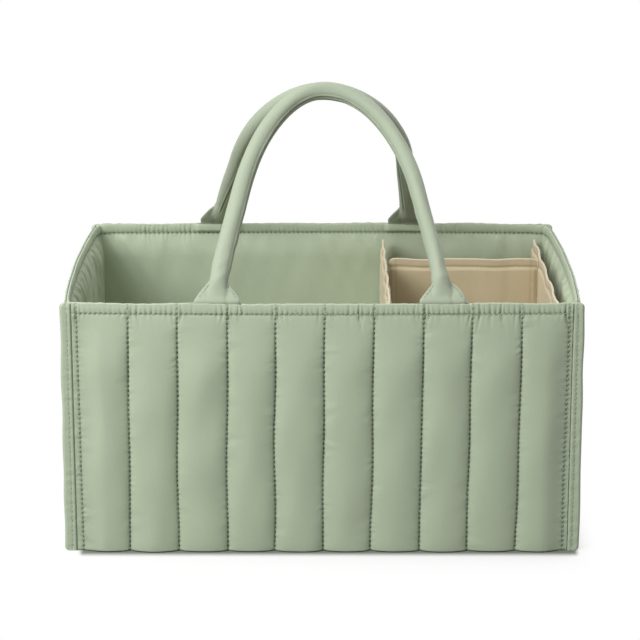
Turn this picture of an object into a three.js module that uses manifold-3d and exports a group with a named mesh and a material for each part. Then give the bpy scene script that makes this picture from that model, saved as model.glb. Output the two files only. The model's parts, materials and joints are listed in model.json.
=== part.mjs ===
// A soft nursery caddy: four quilted walls and a base, two rolled carrying handles that
// fold over the top, and a loose divider insert that lifts out of its hook and loop tapes.
// Lengths are in millimetres. +Z is up, the front faces -Y, and the origin is the middle
// of the base where it stands.

import * as THREE from 'three';
import { mergeVertices } from 'three/addons/utils/BufferGeometryUtils.js';
import Module from 'manifold-3d';

const wasm = await Module();
wasm.setup();

// Play between two pieces that lie against each other
const play = 0.3;
// How far a cutting body runs past the face that it cuts
const overrun = 5;

// Body
const bodyWidth = 382;
const bodyDepth = 255;
const bodyHeight = 190;
const frontBow = 3.5;
const endBow = 4;

// Wall layers, from the outside in
const panelThickness = 3;
const stiffenerThickness = 3;
const liningThickness = 1.2;
const layerSteps = 12;
const layerRows = 2;

// Base layers, from the floor up
const basePanelThickness = 2;
const baseStiffenerThickness = 4;

// Quilting
const frontChannels = 10;
const endChannels = 7;
const channelSteps = 5;
const crownHeight = 4;
const crownFullness = 0.7;
const seamMargin = 3.5;
const footRounding = 7;
const hemPinch = 11;
const hemHeight = 7.5;
const hemPuff = 0.8;
const foldRadius = 2.6;

// Corner strips that bind the upright seams
const stripWidth = 9.2;
const stripLean = 1;
const stripReach = 3;
const stripThickness = 4.8;
const stripProud = 0.6;
const stripCornerRadius = 4;

// Handles
const tubeDiameter = 13.4;
const boreDiameter = 9.2;
const coreDiameter = 8.6;
const footSpacing = 163;
const kneeSpacing = 133;
const kneeHeight = 88;
const archHeight = 178.2;
const kneeShift = 0.7;
const archShift = 3.8;
const frontHandleOffset = 5.5;
const frontApexReach = 8.5;
const backHandleOffset = 1.8;
const backApexReach = 5.5;
const backFootInset = 8.7;
const hingeRise = 2;

// Handle tabs
const tabWidth = 34.3;
const tabThickness = 2.4;
const tabHeight = 18;
const tabRoundness = 0.45;
const tubeStart = 22;
const rollRadius = 1.7;
const slitThickness = 0.7;
const anchorHeight = 6.4;
const anchorThickness = 2.2;

// Divider insert
const dividerX = 50;
const dividerY = 48;
const dividerDrop = 10;
const dividerCover = 0.9;
const dividerBoard = 3;
const tapeWidth = 20;
const tapeThickness = 0.8;
const tapeFoot = 16;
const tapeHead = 108;

// Finishes
const sage = 0xaebb9f;
const sageLining = 0xa3b095;
const khaki = 0xcbbb9b;
const board = 0xe4e1d8;
const cordWhite = 0xeceae2;
const tapeGreen = 0x8f9d82;

// Places worked out from the sizes above
const stripFoot = bodyWidth / 2;
const stripHead = stripFoot - stripLean;
const stripInner = stripFoot - stripWidth;
const frontReach = bodyDepth / 2;
const endReach = stripHead - stripReach;
const stripBack = frontReach + stripProud - stripThickness;
const hemFoot = bodyHeight - hemHeight;
const stiffenerOuter = panelThickness + play;
const stiffenerInner = stiffenerOuter + stiffenerThickness;
const liningOuter = stiffenerInner + play;
const liningInner = liningOuter + liningThickness;
const wallFoot = basePanelThickness + play;
const baseLiningFoot = wallFoot + baseStiffenerThickness + play;
const floorTop = baseLiningFoot + liningThickness;
const dividerTop = bodyHeight - dividerDrop;
const dividerThickness = dividerBoard + 2 * (dividerCover + play);

// A wall stands at its reach from the middle, with its own x running along it and -y
// pointing out. Each is turned about the upright axis to its place.
const walls = {
  front: { turn: 0, reach: frontReach, half: stripInner - play, bow: frontBow, channels: frontChannels },
  right: { turn: Math.PI / 2, reach: endReach, half: stripBack - play, bow: endBow, channels: endChannels },
  back: { turn: Math.PI, reach: frontReach, half: stripInner - play, bow: frontBow, channels: frontChannels },
  left: { turn: -Math.PI / 2, reach: endReach, half: stripBack - play, bow: endBow, channels: endChannels },
};

// The rim of a wall bows outwards in its middle and the base stays straight
const wallBow = (wall, x, z) => wall.bow * (z / bodyHeight) * (1 - (x / wall.half) ** 2);

// Turns a closed set of triangles into a geometry whose faces point out
function closedGeometry(points, triangles) {
  const volume = triangles.reduce((sum, [a, b, c]) => {
    return sum + points[a].dot(new THREE.Vector3().crossVectors(points[b], points[c]));
  }, 0);
  const facing = volume < 0 ? triangles.map(([a, b, c]) => [a, c, b]) : triangles;
  const geometry = new THREE.BufferGeometry();
  geometry.setAttribute('position', new THREE.Float32BufferAttribute(points.flatMap((p) => p.toArray()), 3));
  geometry.setIndex(facing.flat());
  geometry.computeVertexNormals();
  return geometry;
}

// The two triangles between each pair of neighbours on two rings of equal length
function ringBand(first, second, count, triangles) {
  for (let i = 0; i < count; i += 1) {
    const next = (i + 1) % count;
    triangles.push([first + i, first + next, second + next], [first + i, second + next, second + i]);
  }
}

// The triangles of a fan round one point of an outline, over a run of its other points
function fan(apex, first, last) {
  return Array.from({ length: last - first }, (_, i) => [apex, first + i, first + i + 1]);
}

// Skins a row of closed rings of equal length and closes both ends with the cap's
// triangles, which are a plain fan where the rings are convex
function loft(rings, cap = fan(0, 1, rings[0].length - 1)) {
  const count = rings[0].length;
  const triangles = [];
  for (let r = 0; r + 1 < rings.length; r += 1) ringBand(r * count, (r + 1) * count, count, triangles);
  const last = (rings.length - 1) * count;
  for (const [a, b, c] of cap) triangles.push([a, c, b], [last + a, last + b, last + c]);
  return closedGeometry(rings.flat(), triangles);
}

// A pipe between two rows of rings, open at both ends, such as a sleeve with its bore
function pipe(outerRings, innerRings) {
  const count = outerRings[0].length;
  const start = outerRings.length * count;
  const triangles = [];
  for (let r = 0; r + 1 < outerRings.length; r += 1) ringBand(r * count, (r + 1) * count, count, triangles);
  for (let r = 0; r + 1 < innerRings.length; r += 1) {
    ringBand(start + (r + 1) * count, start + r * count, count, triangles);
  }
  ringBand(start, 0, count, triangles);
  ringBand(start - count, start + (innerRings.length - 1) * count, count, triangles);
  return closedGeometry([...outerRings.flat(), ...innerRings.flat()], triangles);
}

function toSolid(geometry) {
  const bare = geometry.clone();
  bare.deleteAttribute('normal');
  bare.deleteAttribute('uv');
  const merged = mergeVertices(bare);
  return new wasm.Manifold(new wasm.Mesh({
    numProp: 3,
    vertProperties: new Float32Array(merged.attributes.position.array),
    triVerts: new Uint32Array(merged.index.array),
  }));
}

function toGeometry(solid) {
  const mesh = solid.getMesh();
  const geometry = new THREE.BufferGeometry();
  geometry.setAttribute('position', new THREE.BufferAttribute(new Float32Array(mesh.vertProperties), 3));
  geometry.setIndex(new THREE.BufferAttribute(new Uint32Array(mesh.triVerts), 1));
  geometry.computeVertexNormals();
  return geometry;
}

function cut(geometry, cutters) {
  return toGeometry(cutters.reduce((solid, cutter) => solid.subtract(toSolid(cutter)), toSolid(geometry)));
}

function boxBetween(low, high) {
  const size = high.clone().sub(low);
  const middle = high.clone().add(low).multiplyScalar(1 / 2);
  return new THREE.BoxGeometry(size.x, size.y, size.z).translate(middle.x, middle.y, middle.z);
}

function named(name, geometry, colour, roughness = 0.85) {
  const material = new THREE.MeshStandardMaterial({ color: colour, roughness, metalness: 0 });
  const mesh = new THREE.Mesh(geometry, material);
  mesh.name = name;
  return mesh;
}

// Evenly spaced values from one end to the other, both ends included
function spaced(from, to, steps) {
  return Array.from({ length: steps + 1 }, (_, i) => from + ((to - from) * i) / Math.max(steps, 1));
}

// The cap of a ring that goes up one face in so many rows and back down the other
function stripCap(rows) {
  const last = 2 * rows + 1;
  return spaced(0, rows - 1, rows - 1).flatMap((k) => {
    return [[k, k + 1, last - k - 1], [k, last - k - 1, last - k]];
  });
}

// A flat layer of a wall between two depths, which follows the wall's bow
function wallLayer(wall, { from, to, foot, head, outer, inner, steps = 1, rows = 1 }) {
  const heights = spaced(foot, head, rows);
  const outline = [...heights.map((z) => [outer, z]), ...heights.map((z) => [inner, z]).reverse()];
  const rings = spaced(from, to, steps).map((x) => outline.map(([depth, z]) => {
    return new THREE.Vector3(x, depth - wall.reach - wallBow(wall, x, z), z);
  }));
  return loft(rings, stripCap(rows));
}

// How far the padding swells out at a place along a wall: each channel is a crown between
// two seams, and the margins beside the corner strips stay flat
function crownShare(wall, x) {
  const span = wall.half - seamMargin;
  if (Math.abs(x) >= span) return 0;
  const pitch = (2 * span) / wall.channels;
  const along = (x + span) / pitch;
  return Math.sin(Math.PI * (along - Math.floor(along))) ** crownFullness;
}

// The heights of a quilted panel's outer face, each with the share of the crown it keeps:
// the padding rounds under at the foot and is pinched flat by the stitches of the hem
function crownRows() {
  const footShares = [[0, 0.5], [0.35, 0.86], [1, 1]];
  const pinchShares = [[1, 1], [0.45, 0.82], [0.15, 0.42], [0, 0]];
  const foot = footShares.map(([height, kept]) => [height * footRounding, kept]);
  const head = pinchShares.map(([height, kept]) => [hemFoot - height * hemPinch, kept]);
  return [...foot, ...head];
}

// The outline of a quilted panel at one place along its wall, as distance out and height:
// up the outer face, over the folded top edge, and down the back to the foot. The hem
// lies over the stiffener and is mitred at the wall's ends.
function panelOutline(wall, x) {
  const crown = crownHeight * crownShare(wall, x);
  const hemDepth = Math.abs(x) < wall.half ? stiffenerInner : stiffenerOuter;
  const outline = crownRows().map(([z, kept]) => new THREE.Vector2(crown * kept, z));
  outline.push(new THREE.Vector2(hemPuff, (hemFoot + bodyHeight - foldRadius) / 2));
  for (const angle of spaced(0, Math.PI / 2, 3)) {
    const out = foldRadius * (Math.cos(angle) - 1);
    outline.push(new THREE.Vector2(out, bodyHeight - foldRadius + foldRadius * Math.sin(angle)));
  }
  outline.push(
    new THREE.Vector2(-hemDepth, bodyHeight),
    new THREE.Vector2(-hemDepth, hemFoot),
    new THREE.Vector2(-panelThickness, hemFoot),
    new THREE.Vector2(-panelThickness, 0),
  );
  return outline;
}

// A panel's end is filled by one fan round its inner foot and another inside the hem
function panelCap(count) {
  const foldEnd = count - 5;
  const [topInner, hemInner, step, innerFoot] = [count - 4, count - 3, count - 2, count - 1];
  const hem = [[innerFoot, foldEnd, step], [step, foldEnd, topInner], [step, topInner, hemInner]];
  return [...fan(innerFoot, 0, foldEnd), ...hem];
}

function quiltedPanel(wall) {
  const span = wall.half - seamMargin;
  const places = [-wall.half, ...spaced(-span, span, wall.channels * channelSteps), wall.half];
  const rings = places.map((x) => panelOutline(wall, x).map(({ x: out, y: z }) => {
    return new THREE.Vector3(x, -wall.reach - wallBow(wall, x, z) - out, z);
  }));
  return loft(rings, panelCap(rings[0].length));
}

// The line that a handle's tabs fold on lies over the inner end of the hem's rounded edge
const hingeY = foldRadius - frontReach - wallBow(walls.front, footSpacing / 2, bodyHeight);
const hingeZ = bodyHeight + hingeRise;

// How each handle is set on its wall, along X in the wall's own frame. The back one is
// turned round, and its left foot stands further in.
const handles = {
  front: { offset: frontHandleOffset, leftInset: 0, apexReach: frontApexReach },
  back: { offset: backHandleOffset, leftInset: backFootInset, apexReach: backApexReach },
};

function footPlace(handle, side) {
  const inset = side < 0 ? handle.leftInset : 0;
  return handle.offset + side * (footSpacing / 2 - inset);
}

// The sewn-in end of a handle tab, and the pocket in the hem that holds it
function anchorBox(handle, side, margin) {
  const x = footPlace(handle, side);
  const low = new THREE.Vector3(x - tabWidth / 2, hingeY - anchorThickness / 2, bodyHeight - anchorHeight);
  const high = new THREE.Vector3(x + tabWidth / 2, hingeY + anchorThickness / 2, bodyHeight);
  return boxBetween(low.subScalar(margin), high.addScalar(margin));
}

function anchorPocket(handle, side) {
  const pocket = anchorBox(handle, side, play);
  const open = anchorBox(handle, side, play).translate(0, 0, anchorHeight / 2);
  return toGeometry(toSolid(pocket).add(toSolid(open)));
}

// A quilted wall with its stiffener and lining. The front and back hems hold the handles.
function makeWall(name, wall) {
  const group = new THREE.Group();
  group.rotation.z = wall.turn;
  const handle = handles[name];
  const holdsHandle = Boolean(handle);
  const pockets = holdsHandle ? [anchorPocket(handle, -1), anchorPocket(handle, 1)] : [];
  const panel = holdsHandle ? cut(quiltedPanel(wall), pockets) : quiltedPanel(wall);
  group.add(named(`${name}_outer_panel`, panel, sage));

  const stiffenerHalf = holdsHandle ? wall.half : frontReach - stiffenerInner - play;
  group.add(named(`${name}_stiffener`, wallLayer(wall, {
    from: -stiffenerHalf,
    to: stiffenerHalf,
    foot: wallFoot,
    head: hemFoot - play,
    outer: stiffenerOuter,
    inner: stiffenerInner,
    steps: layerSteps,
    rows: layerRows,
  }), board, 0.9));

  const liningHalf = holdsHandle ? endReach - liningOuter : frontReach - liningInner - play;
  group.add(named(`${name}_lining`, wallLayer(wall, {
    from: -liningHalf,
    to: liningHalf,
    foot: floorTop + play,
    head: bodyHeight,
    outer: liningOuter,
    inner: liningInner,
    steps: layerSteps,
    rows: layerRows,
  }), sageLining));
  return group;
}

// A strip that binds an upright corner seam. It stands proud of the end wall, leans out a
// little towards the base and is rounded off at the top.
function cornerStrip(sideX, sideY) {
  const front = frontReach + stripProud;
  const round = stripThickness / 2;
  const outerAt = (z) => stripFoot - (stripLean * z) / bodyHeight;
  const ring = (z, outer) => {
    const arc = spaced(-Math.PI / 2, Math.PI / 2, 6).map((angle) => {
      return [outer - round + round * Math.cos(angle), front - round + round * Math.sin(angle)];
    });
    const corners = [[stripInner, stripBack], ...arc, [stripInner, front]];
    return corners.map(([x, y]) => new THREE.Vector3(sideX * x, sideY * y, z));
  };
  const shoulder = bodyHeight - stripCornerRadius;
  const rings = [ring(0, outerAt(0)), ring(shoulder, outerAt(shoulder))];
  for (const angle of spaced(0, Math.PI / 2, 3).slice(1)) {
    const z = shoulder + stripCornerRadius * Math.sin(angle);
    rings.push(ring(z, outerAt(shoulder) - stripCornerRadius * (1 - Math.cos(angle))));
  }
  return loft(rings);
}

// The base: a flat panel that keeps clear of the corner strips, a board and a lining
function makeBase() {
  const group = new THREE.Group();
  const halfX = endReach - panelThickness - play;
  const halfY = frontReach - panelThickness - play;
  const notchX = stripInner - play;
  const notchY = stripBack - play;
  const outline = new THREE.Shape();
  const quarter = [[halfX, notchY], [notchX, notchY], [notchX, halfY]];
  const corners = [
    ...quarter,
    ...quarter.map(([x, y]) => [-x, y]).reverse(),
    ...quarter.map(([x, y]) => [-x, -y]),
    ...quarter.map(([x, y]) => [x, -y]).reverse(),
  ];
  outline.setFromPoints(corners.map(([x, y]) => new THREE.Vector2(x, y)));
  const panel = new THREE.ExtrudeGeometry(outline, { depth: basePanelThickness, bevelEnabled: false });
  group.add(named('base_outer_panel', panel, sage));

  const innerX = endReach - stiffenerInner - play;
  const innerY = frontReach - stiffenerInner - play;
  const boardLow = new THREE.Vector3(-innerX, -innerY, wallFoot);
  const boardHigh = new THREE.Vector3(innerX, innerY, wallFoot + baseStiffenerThickness);
  group.add(named('base_stiffener', boxBetween(boardLow, boardHigh), board, 0.9));

  const liningLow = new THREE.Vector3(-innerX, -innerY, baseLiningFoot);
  const liningHigh = new THREE.Vector3(innerX, innerY, floorTop);
  group.add(named('base_lining', boxBetween(liningLow, liningHigh), sageLining));
  return group;
}

// The centre line of a handle in its own plane, with its tabs' fold line at height zero.
// Both legs leave the fold line square to it and curve in to a rounded arch whose top is
// pushed a little to one side.
function handleCurve(handle) {
  const point = (x, z) => new THREE.Vector3(x + handle.offset, 0, z);
  const footPullShare = 0.28;
  const kneePullShares = { across: 0.66, up: 0.7 };
  const crownRiseShare = 0.485;
  const crownReachShare = 0.5;
  const between = THREE.MathUtils.lerp;
  const path = new THREE.CurvePath();
  const half = (side) => {
    const footX = footPlace(handle, side) - handle.offset;
    const kneeX = (side * kneeSpacing) / 2 - kneeShift;
    const leg = new THREE.CubicBezierCurve3(
      point(footX, 0),
      point(footX, kneeHeight * footPullShare),
      point(between(footX, kneeX, kneePullShares.across), kneeHeight * kneePullShares.up),
      point(kneeX, kneeHeight),
    );
    const slope = (leg.v2.x - leg.v3.x) / (leg.v3.z - leg.v2.z);
    const rise = (archHeight - kneeHeight) * crownRiseShare;
    const crown = new THREE.CubicBezierCurve3(
      point(kneeX, kneeHeight),
      point(kneeX - slope * rise, kneeHeight + rise),
      point(between(-archShift, kneeX, crownReachShare), archHeight),
      point(-archShift, archHeight),
    );
    return [leg, crown];
  };
  const backwards = (curve) => new THREE.CubicBezierCurve3(curve.v3, curve.v2, curve.v1, curve.v0);
  const [leftLeg, leftCrown] = half(-1);
  const [rightLeg, rightCrown] = half(1);
  path.curves.push(leftLeg, leftCrown, backwards(rightCrown), backwards(rightLeg));
  return path;
}

// Rings round the centre line at the given distances along it. A distance outside the
// curve runs straight on from its end.
function ringsAlong(path, distances, shapeAt, sides) {
  const length = path.getLength();
  const upright = new THREE.Vector3(0, 1, 0);
  return distances.map((distance) => {
    const share = THREE.MathUtils.clamp(distance / length, 0, 1);
    const tangent = path.getTangentAt(share);
    const beyond = distance - share * length;
    const centre = path.getPointAt(share).addScaledVector(tangent, beyond);
    const across = new THREE.Vector3().crossVectors(tangent, upright);
    const { halfWidth, halfDepth, roundness } = shapeAt(Math.min(distance, length - distance));
    const soften = (value) => Math.sign(value) * Math.abs(value) ** roundness;
    return Array.from({ length: sides }, (_, i) => {
      const angle = (2 * Math.PI * i) / sides;
      return centre.clone()
        .addScaledVector(across, halfWidth * soften(Math.cos(angle)))
        .addScaledVector(upright, halfDepth * soften(Math.sin(angle)));
    });
  });
}

const smooth = (value, from, to) => THREE.MathUtils.smoothstep(value, from, to);

// The cover's outer size at a distance from its nearest end: a rolled lower edge, a flat
// domed tab, and the round tube that grows out of it
function coverShape(distance) {
  const tube = tubeDiameter / 2;
  const dome = distance < tabHeight ? (tabWidth / 2) * Math.sqrt(1 - (Math.max(distance, 0) / tabHeight) ** 2) : 0;
  const filled = smooth(distance, tabHeight / 4, tubeStart);
  const flat = tabThickness / 2;
  const onRoll = Math.abs(distance) < rollRadius;
  const roll = onRoll ? Math.sqrt(rollRadius ** 2 - distance ** 2) : 0;
  return {
    halfWidth: Math.max(tube, dome),
    halfDepth: Math.max(roll, distance < 0 ? 0 : flat + (tube - flat) * filled),
    roundness: THREE.MathUtils.lerp(tabRoundness, 1, filled),
  };
}

// The bore runs from the open slit between the tab's two layers to the round tube
function boreShape(distance) {
  const cover = coverShape(distance);
  const bore = boreDiameter / 2;
  const slit = slitThickness / 2;
  const filled = smooth(distance, tabHeight / 2, tubeStart);
  const tabLayer = (tabThickness - slitThickness) / 2;
  return {
    halfWidth: cover.halfWidth - tabLayer - (tubeDiameter / 2 - bore - tabLayer) * filled,
    halfDepth: slit + (bore - slit) * filled,
    roundness: cover.roundness,
  };
}

// One rolled handle: a fabric sleeve with a tab at each end, over a cord. It leans in over
// the opening until its top stops a little short of the middle.
function makeHandle(name, handle) {
  const hinge = new THREE.Group();
  hinge.position.set(0, hingeY, hingeZ);
  hinge.rotation.x = -Math.asin((-hingeY - handle.apexReach) / archHeight);
  const path = handleCurve(handle);
  const length = path.getLength();
  const sides = 12;
  const rollShares = [-0.85, -0.5, 0, 0.6];
  const tabShares = [0.14, 0.36, 0.56, 0.72, 0.86, 0.96];
  const slitShares = [0.33, 0.7, 1];
  const tubeSteps = 26;
  const boreSteps = 18;
  const tabPlaces = [...rollShares.map((s) => s * rollRadius), ...tabShares.map((s) => s * tabHeight)];
  const slitPlaces = [rollShares[0] * rollRadius, ...slitShares.map((s) => s * tabHeight)];
  const mirrored = (places) => places.map((place) => length - place).reverse();
  const tubePlaces = (steps) => spaced(tubeStart, length - tubeStart, steps);
  const outerPlaces = [...tabPlaces, ...tubePlaces(tubeSteps), ...mirrored(tabPlaces)];
  const borePlaces = [...slitPlaces, ...tubePlaces(boreSteps), ...mirrored(slitPlaces)];
  const cover = pipe(
    ringsAlong(path, outerPlaces, coverShape, sides),
    ringsAlong(path, borePlaces, boreShape, sides),
  );
  hinge.add(named(`${name}_handle_cover`, cover, sage));

  const corePlaces = tubePlaces(boreSteps);
  const coreShape = () => ({ halfWidth: coreDiameter / 2, halfDepth: coreDiameter / 2, roundness: 1 });
  const core = loft(ringsAlong(path, corePlaces, coreShape, sides - 4));
  hinge.add(named(`${name}_handle_core`, core, cordWhite, 0.9));
  return hinge;
}

// One side's handle and its two sewn-in ends, in the frame of its wall
function makeHandleSet(name, handle) {
  const group = new THREE.Group();
  group.rotation.z = walls[name].turn;
  group.add(makeHandle(name, handle));
  group.add(named(`${name}_left_handle_anchor`, anchorBox(handle, -1, 0), sage));
  group.add(named(`${name}_right_handle_anchor`, anchorBox(handle, 1, 0), sage));
  return group;
}

// A divider is a board in a fabric sleeve that is rounded at the top and open below. It
// is made along X in the middle of the floor.
function makeDivider(name, length) {
  const group = new THREE.Group();
  const foot = floorTop + play;
  const half = dividerThickness / 2;
  const outline = new THREE.Shape();
  outline.moveTo(-half, foot);
  outline.lineTo(half, foot);
  outline.lineTo(half, dividerTop - half);
  outline.absarc(0, dividerTop - half, half, 0, Math.PI);
  outline.lineTo(-half, foot);
  const sleeve = new THREE.ExtrudeGeometry(outline, { depth: length, bevelEnabled: false, curveSegments: 6 });
  sleeve.rotateX(Math.PI / 2);
  sleeve.rotateZ(Math.PI / 2);
  sleeve.translate(-length / 2, 0, 0);

  const boardHalf = length / 2 - dividerCover - play;
  const boardHead = dividerTop - half;
  const low = new THREE.Vector3(-boardHalf, -dividerBoard / 2, foot);
  const high = new THREE.Vector3(boardHalf, dividerBoard / 2, boardHead);
  const pocketLow = low.clone().sub(new THREE.Vector3(play, play, overrun));
  const pocket = boxBetween(pocketLow, high.clone().addScalar(play));
  group.add(named(`${name}_divider_cover`, cut(sleeve, [pocket]), khaki));
  group.add(named(`${name}_divider_board`, boxBetween(low, high), board, 0.9));
  return group;
}

// Depths of the loop tape on a wall's lining and of the hook tape that grips it
const loopOuter = liningInner + play;
const hookOuter = loopOuter + tapeThickness + play;
const hookInner = hookOuter + tapeThickness;

function makeTape(name, wall, x, outer) {
  const group = new THREE.Group();
  group.rotation.z = wall.turn;
  group.add(named(name, wallLayer(wall, {
    from: x - tapeWidth / 2,
    to: x + tapeWidth / 2,
    foot: tapeFoot,
    head: tapeHead,
    outer,
    inner: outer + tapeThickness,
  }), tapeGreen, 0.95));
  return group;
}

// The insert is H-shaped: the cross divider and the side divider run from front to back,
// the side one flat against the right wall, and the middle divider joins them
function makeDividers() {
  const group = new THREE.Group();
  const length = 2 * (frontReach - hookInner - play);
  const half = dividerThickness / 2;
  const sideX = endReach - hookInner - play - half;
  for (const [name, x] of [['cross', dividerX], ['side', sideX]]) {
    const divider = makeDivider(name, length);
    divider.rotation.z = Math.PI / 2;
    divider.position.x = x;
    group.add(divider);
  }
  const middle = makeDivider('middle', sideX - dividerX - 2 * (half + play));
  middle.position.set((sideX + dividerX) / 2, dividerY, 0);
  group.add(middle);

  const flatWall = { ...walls.right, bow: 0 };
  const tapes = [
    ['front', walls.front, walls.front, dividerX],
    ['back', walls.back, walls.back, -dividerX],
    ['right', walls.right, flatWall, dividerY],
  ];
  for (const [side, loopWall, hookWall, x] of tapes) {
    group.add(makeTape(`${side}_loop_tape`, loopWall, x, loopOuter));
    group.add(makeTape(`${side}_hook_tape`, hookWall, x, hookOuter));
  }
  return group;
}

const caddy = new THREE.Group();
for (const [name, wall] of Object.entries(walls)) caddy.add(makeWall(name, wall));
for (const [end, sideX] of [['left', -1], ['right', 1]]) {
  for (const [face, sideY] of [['front', -1], ['back', 1]]) {
    caddy.add(named(`${face}_${end}_corner_strip`, cornerStrip(sideX, sideY), sage));
  }
}
caddy.add(makeBase());
for (const [name, handle] of Object.entries(handles)) caddy.add(makeHandleSet(name, handle));
caddy.add(makeDividers());

export default caddy;
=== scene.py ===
# A quilted nursery caddy: padded walls sewn in upright channels, bound corners, two rolled
# handles that lean over the opening, and a khaki divider insert. Lengths are in metres.

import json
import math

import bpy
import numpy as np
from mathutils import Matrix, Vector


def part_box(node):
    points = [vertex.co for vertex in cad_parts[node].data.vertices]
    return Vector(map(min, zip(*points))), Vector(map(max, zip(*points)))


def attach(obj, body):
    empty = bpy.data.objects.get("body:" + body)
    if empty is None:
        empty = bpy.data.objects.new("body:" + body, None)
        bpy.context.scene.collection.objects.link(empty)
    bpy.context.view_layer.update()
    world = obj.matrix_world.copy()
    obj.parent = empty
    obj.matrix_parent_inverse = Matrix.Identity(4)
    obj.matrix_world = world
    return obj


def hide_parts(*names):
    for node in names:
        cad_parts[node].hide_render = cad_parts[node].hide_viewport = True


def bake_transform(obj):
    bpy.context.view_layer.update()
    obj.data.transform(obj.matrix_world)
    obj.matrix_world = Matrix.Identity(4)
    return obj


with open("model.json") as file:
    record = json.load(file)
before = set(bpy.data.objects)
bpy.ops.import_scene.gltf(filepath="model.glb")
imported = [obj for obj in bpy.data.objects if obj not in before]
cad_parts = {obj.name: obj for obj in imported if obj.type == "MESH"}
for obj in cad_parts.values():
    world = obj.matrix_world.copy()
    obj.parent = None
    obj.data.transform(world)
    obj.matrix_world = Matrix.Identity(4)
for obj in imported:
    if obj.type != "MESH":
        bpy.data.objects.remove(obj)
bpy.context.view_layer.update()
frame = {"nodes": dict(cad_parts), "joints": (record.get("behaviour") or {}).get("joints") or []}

MM = 0.001

# Layers of a wall, as depths from its outer face
PANEL = 3 * MM
HEM_DEPTH = 6.3 * MM
LINING_BACK = 6.6 * MM
LINING_FACE = 7.8 * MM

# Sizes taken from the frame
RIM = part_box("front_outer_panel")[1].z
FRONT_REACH = HEM_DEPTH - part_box("front_stiffener")[1].y
END_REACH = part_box("right_stiffener")[0].x + HEM_DEPTH
FRONT_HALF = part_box("front_outer_panel")[1].x
END_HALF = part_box("right_outer_panel")[1].y
LINING_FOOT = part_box("front_lining")[0].z
HINGE_Y = frame["joints"][0]["pos_m"][1]
HINGE_Z = frame["joints"][0]["pos_m"][2]

# How the quilting's seams run
SEAM_MARGIN = 3.5 * MM
SEAM_LEAN = 1.7 * MM
SEAM_OFFSET = 1 * MM
SEAM_SWAY = 0.35 * MM
END_SEAM_LEAN = 1.1 * MM
END_SEAM_SWAY = 0.15 * MM
SWAY_LENGTH = 120 * MM

# How a channel swells between its seams, from its foot to the hem
CROWN = 5 * MM
CROWN_FULLNESS = 0.5
TOP_FULLNESS = 0.32
TOP_BAND = 42 * MM
CORNER_SLOPE = 1.4
CORNER_SLOPE_TOP = 0.85
FIRST_HELD = 0.45
SHELF = 0.012
SOFTNESS = 0.3 * MM
FOOT_ROUNDING = 9 * MM
FOOT_TURN = 0.9 * MM
PULLED = 30 * MM
PINCH = 50 * MM
PUFF = 3 * MM
PUFF_SHARE = 0.12

# The folds beside each seam, the needle holes in it and how wide a stitched groove is
PUCKER_BEAT = 0.22 * MM
PUCKER_SHORT = 0.27 * MM
PUCKER_LONG = 0.16 * MM
PUCKER_REACH = 20 * MM
HOLE_DEPTH = 0.7 * MM
NEEDLE = 0.7 * MM

# The rows and columns of a quilted wall
STITCHES_UP = 50
STITCH_ROWS = 4
COLUMNS = 40
CROWDING = 0.6
MARGIN_COLUMNS = 7

# The hem, whose stitches pull all layers together
HEM = 7.5 * MM
HEM_FOOT = RIM - HEM
HEM_PUFF = 0.4 * MM
HEM_STEP = 0.45 * MM
FOLD = 0.7 * MM
RIM_SWAY = 0.28 * MM
RIM_JITTER = 0.12 * MM
STITCH = HEM_FOOT / STITCHES_UP
GATHER = 1.15 * MM
GATHER_MOST = {"front": 0.65, "right": 0.35, "back": 0.35, "left": 0.35}
GATHER_BUNCH = 60 * MM
GATHER_LEAN = 0.22
GATHER_FADE = 6 * MM
SEAM_GROOVE = 0.25 * MM
TAB_SWELL = 0.3 * MM
TAB_GROOVE = 0.25 * MM
TAB_FLARE = 1.3 * MM
PANEL_TURN = np.array([(-1, 0.3), (-1.4, -1.5), (-3, -8)]) * MM
HEM_TURN = np.array([(-1.4, -3), (-1.4, -6), (-1, -7.8)]) * MM

# The lining, sewn into the hem and up over the inner side of the rim
SEAM_THICKNESS = 2.6 * MM
RIM_INSIDE = 1.6 * MM
OVER_TAB = 3.9 * MM
PINCH_INSIDE = 20 * MM
CORNER_BULK = 14 * MM
TAB_BULK = 4 * MM
LINING_STEP = 0.8 * MM
LINING_LOWEST = -0.45
LINING_FOLDS = {"front": 0.6, "right": 2.2, "back": 0.6, "left": 2.2}
CORNER_OVERLAP = 2.6 * MM
BAND_PUFF = 0.5 * MM
BAND_GATHER = 1.1 * MM

# The walls that have a loop tape, each with the frame's axis along it and its sign
TAPE_WALLS = {"front": (0, 1), "back": (0, -1), "right": (1, 1)}
TAPE_HALF = 10 * MM
TAPE_BEVEL = 0.25 * MM

# The strips that bind the corners
STRIP_LEAN = 1 * MM
STRIP_CORNER = 4 * MM
STRIP_TOE = 3 * MM
STRIP_SINK = 0.9 * MM
STRIP_SEAM = 3.3 * MM
STRIP_PUFF = 0.18 * MM
STRIP_SWELL = 0.2 * MM
STRIP_EDGE = 0.8 * MM

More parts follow.
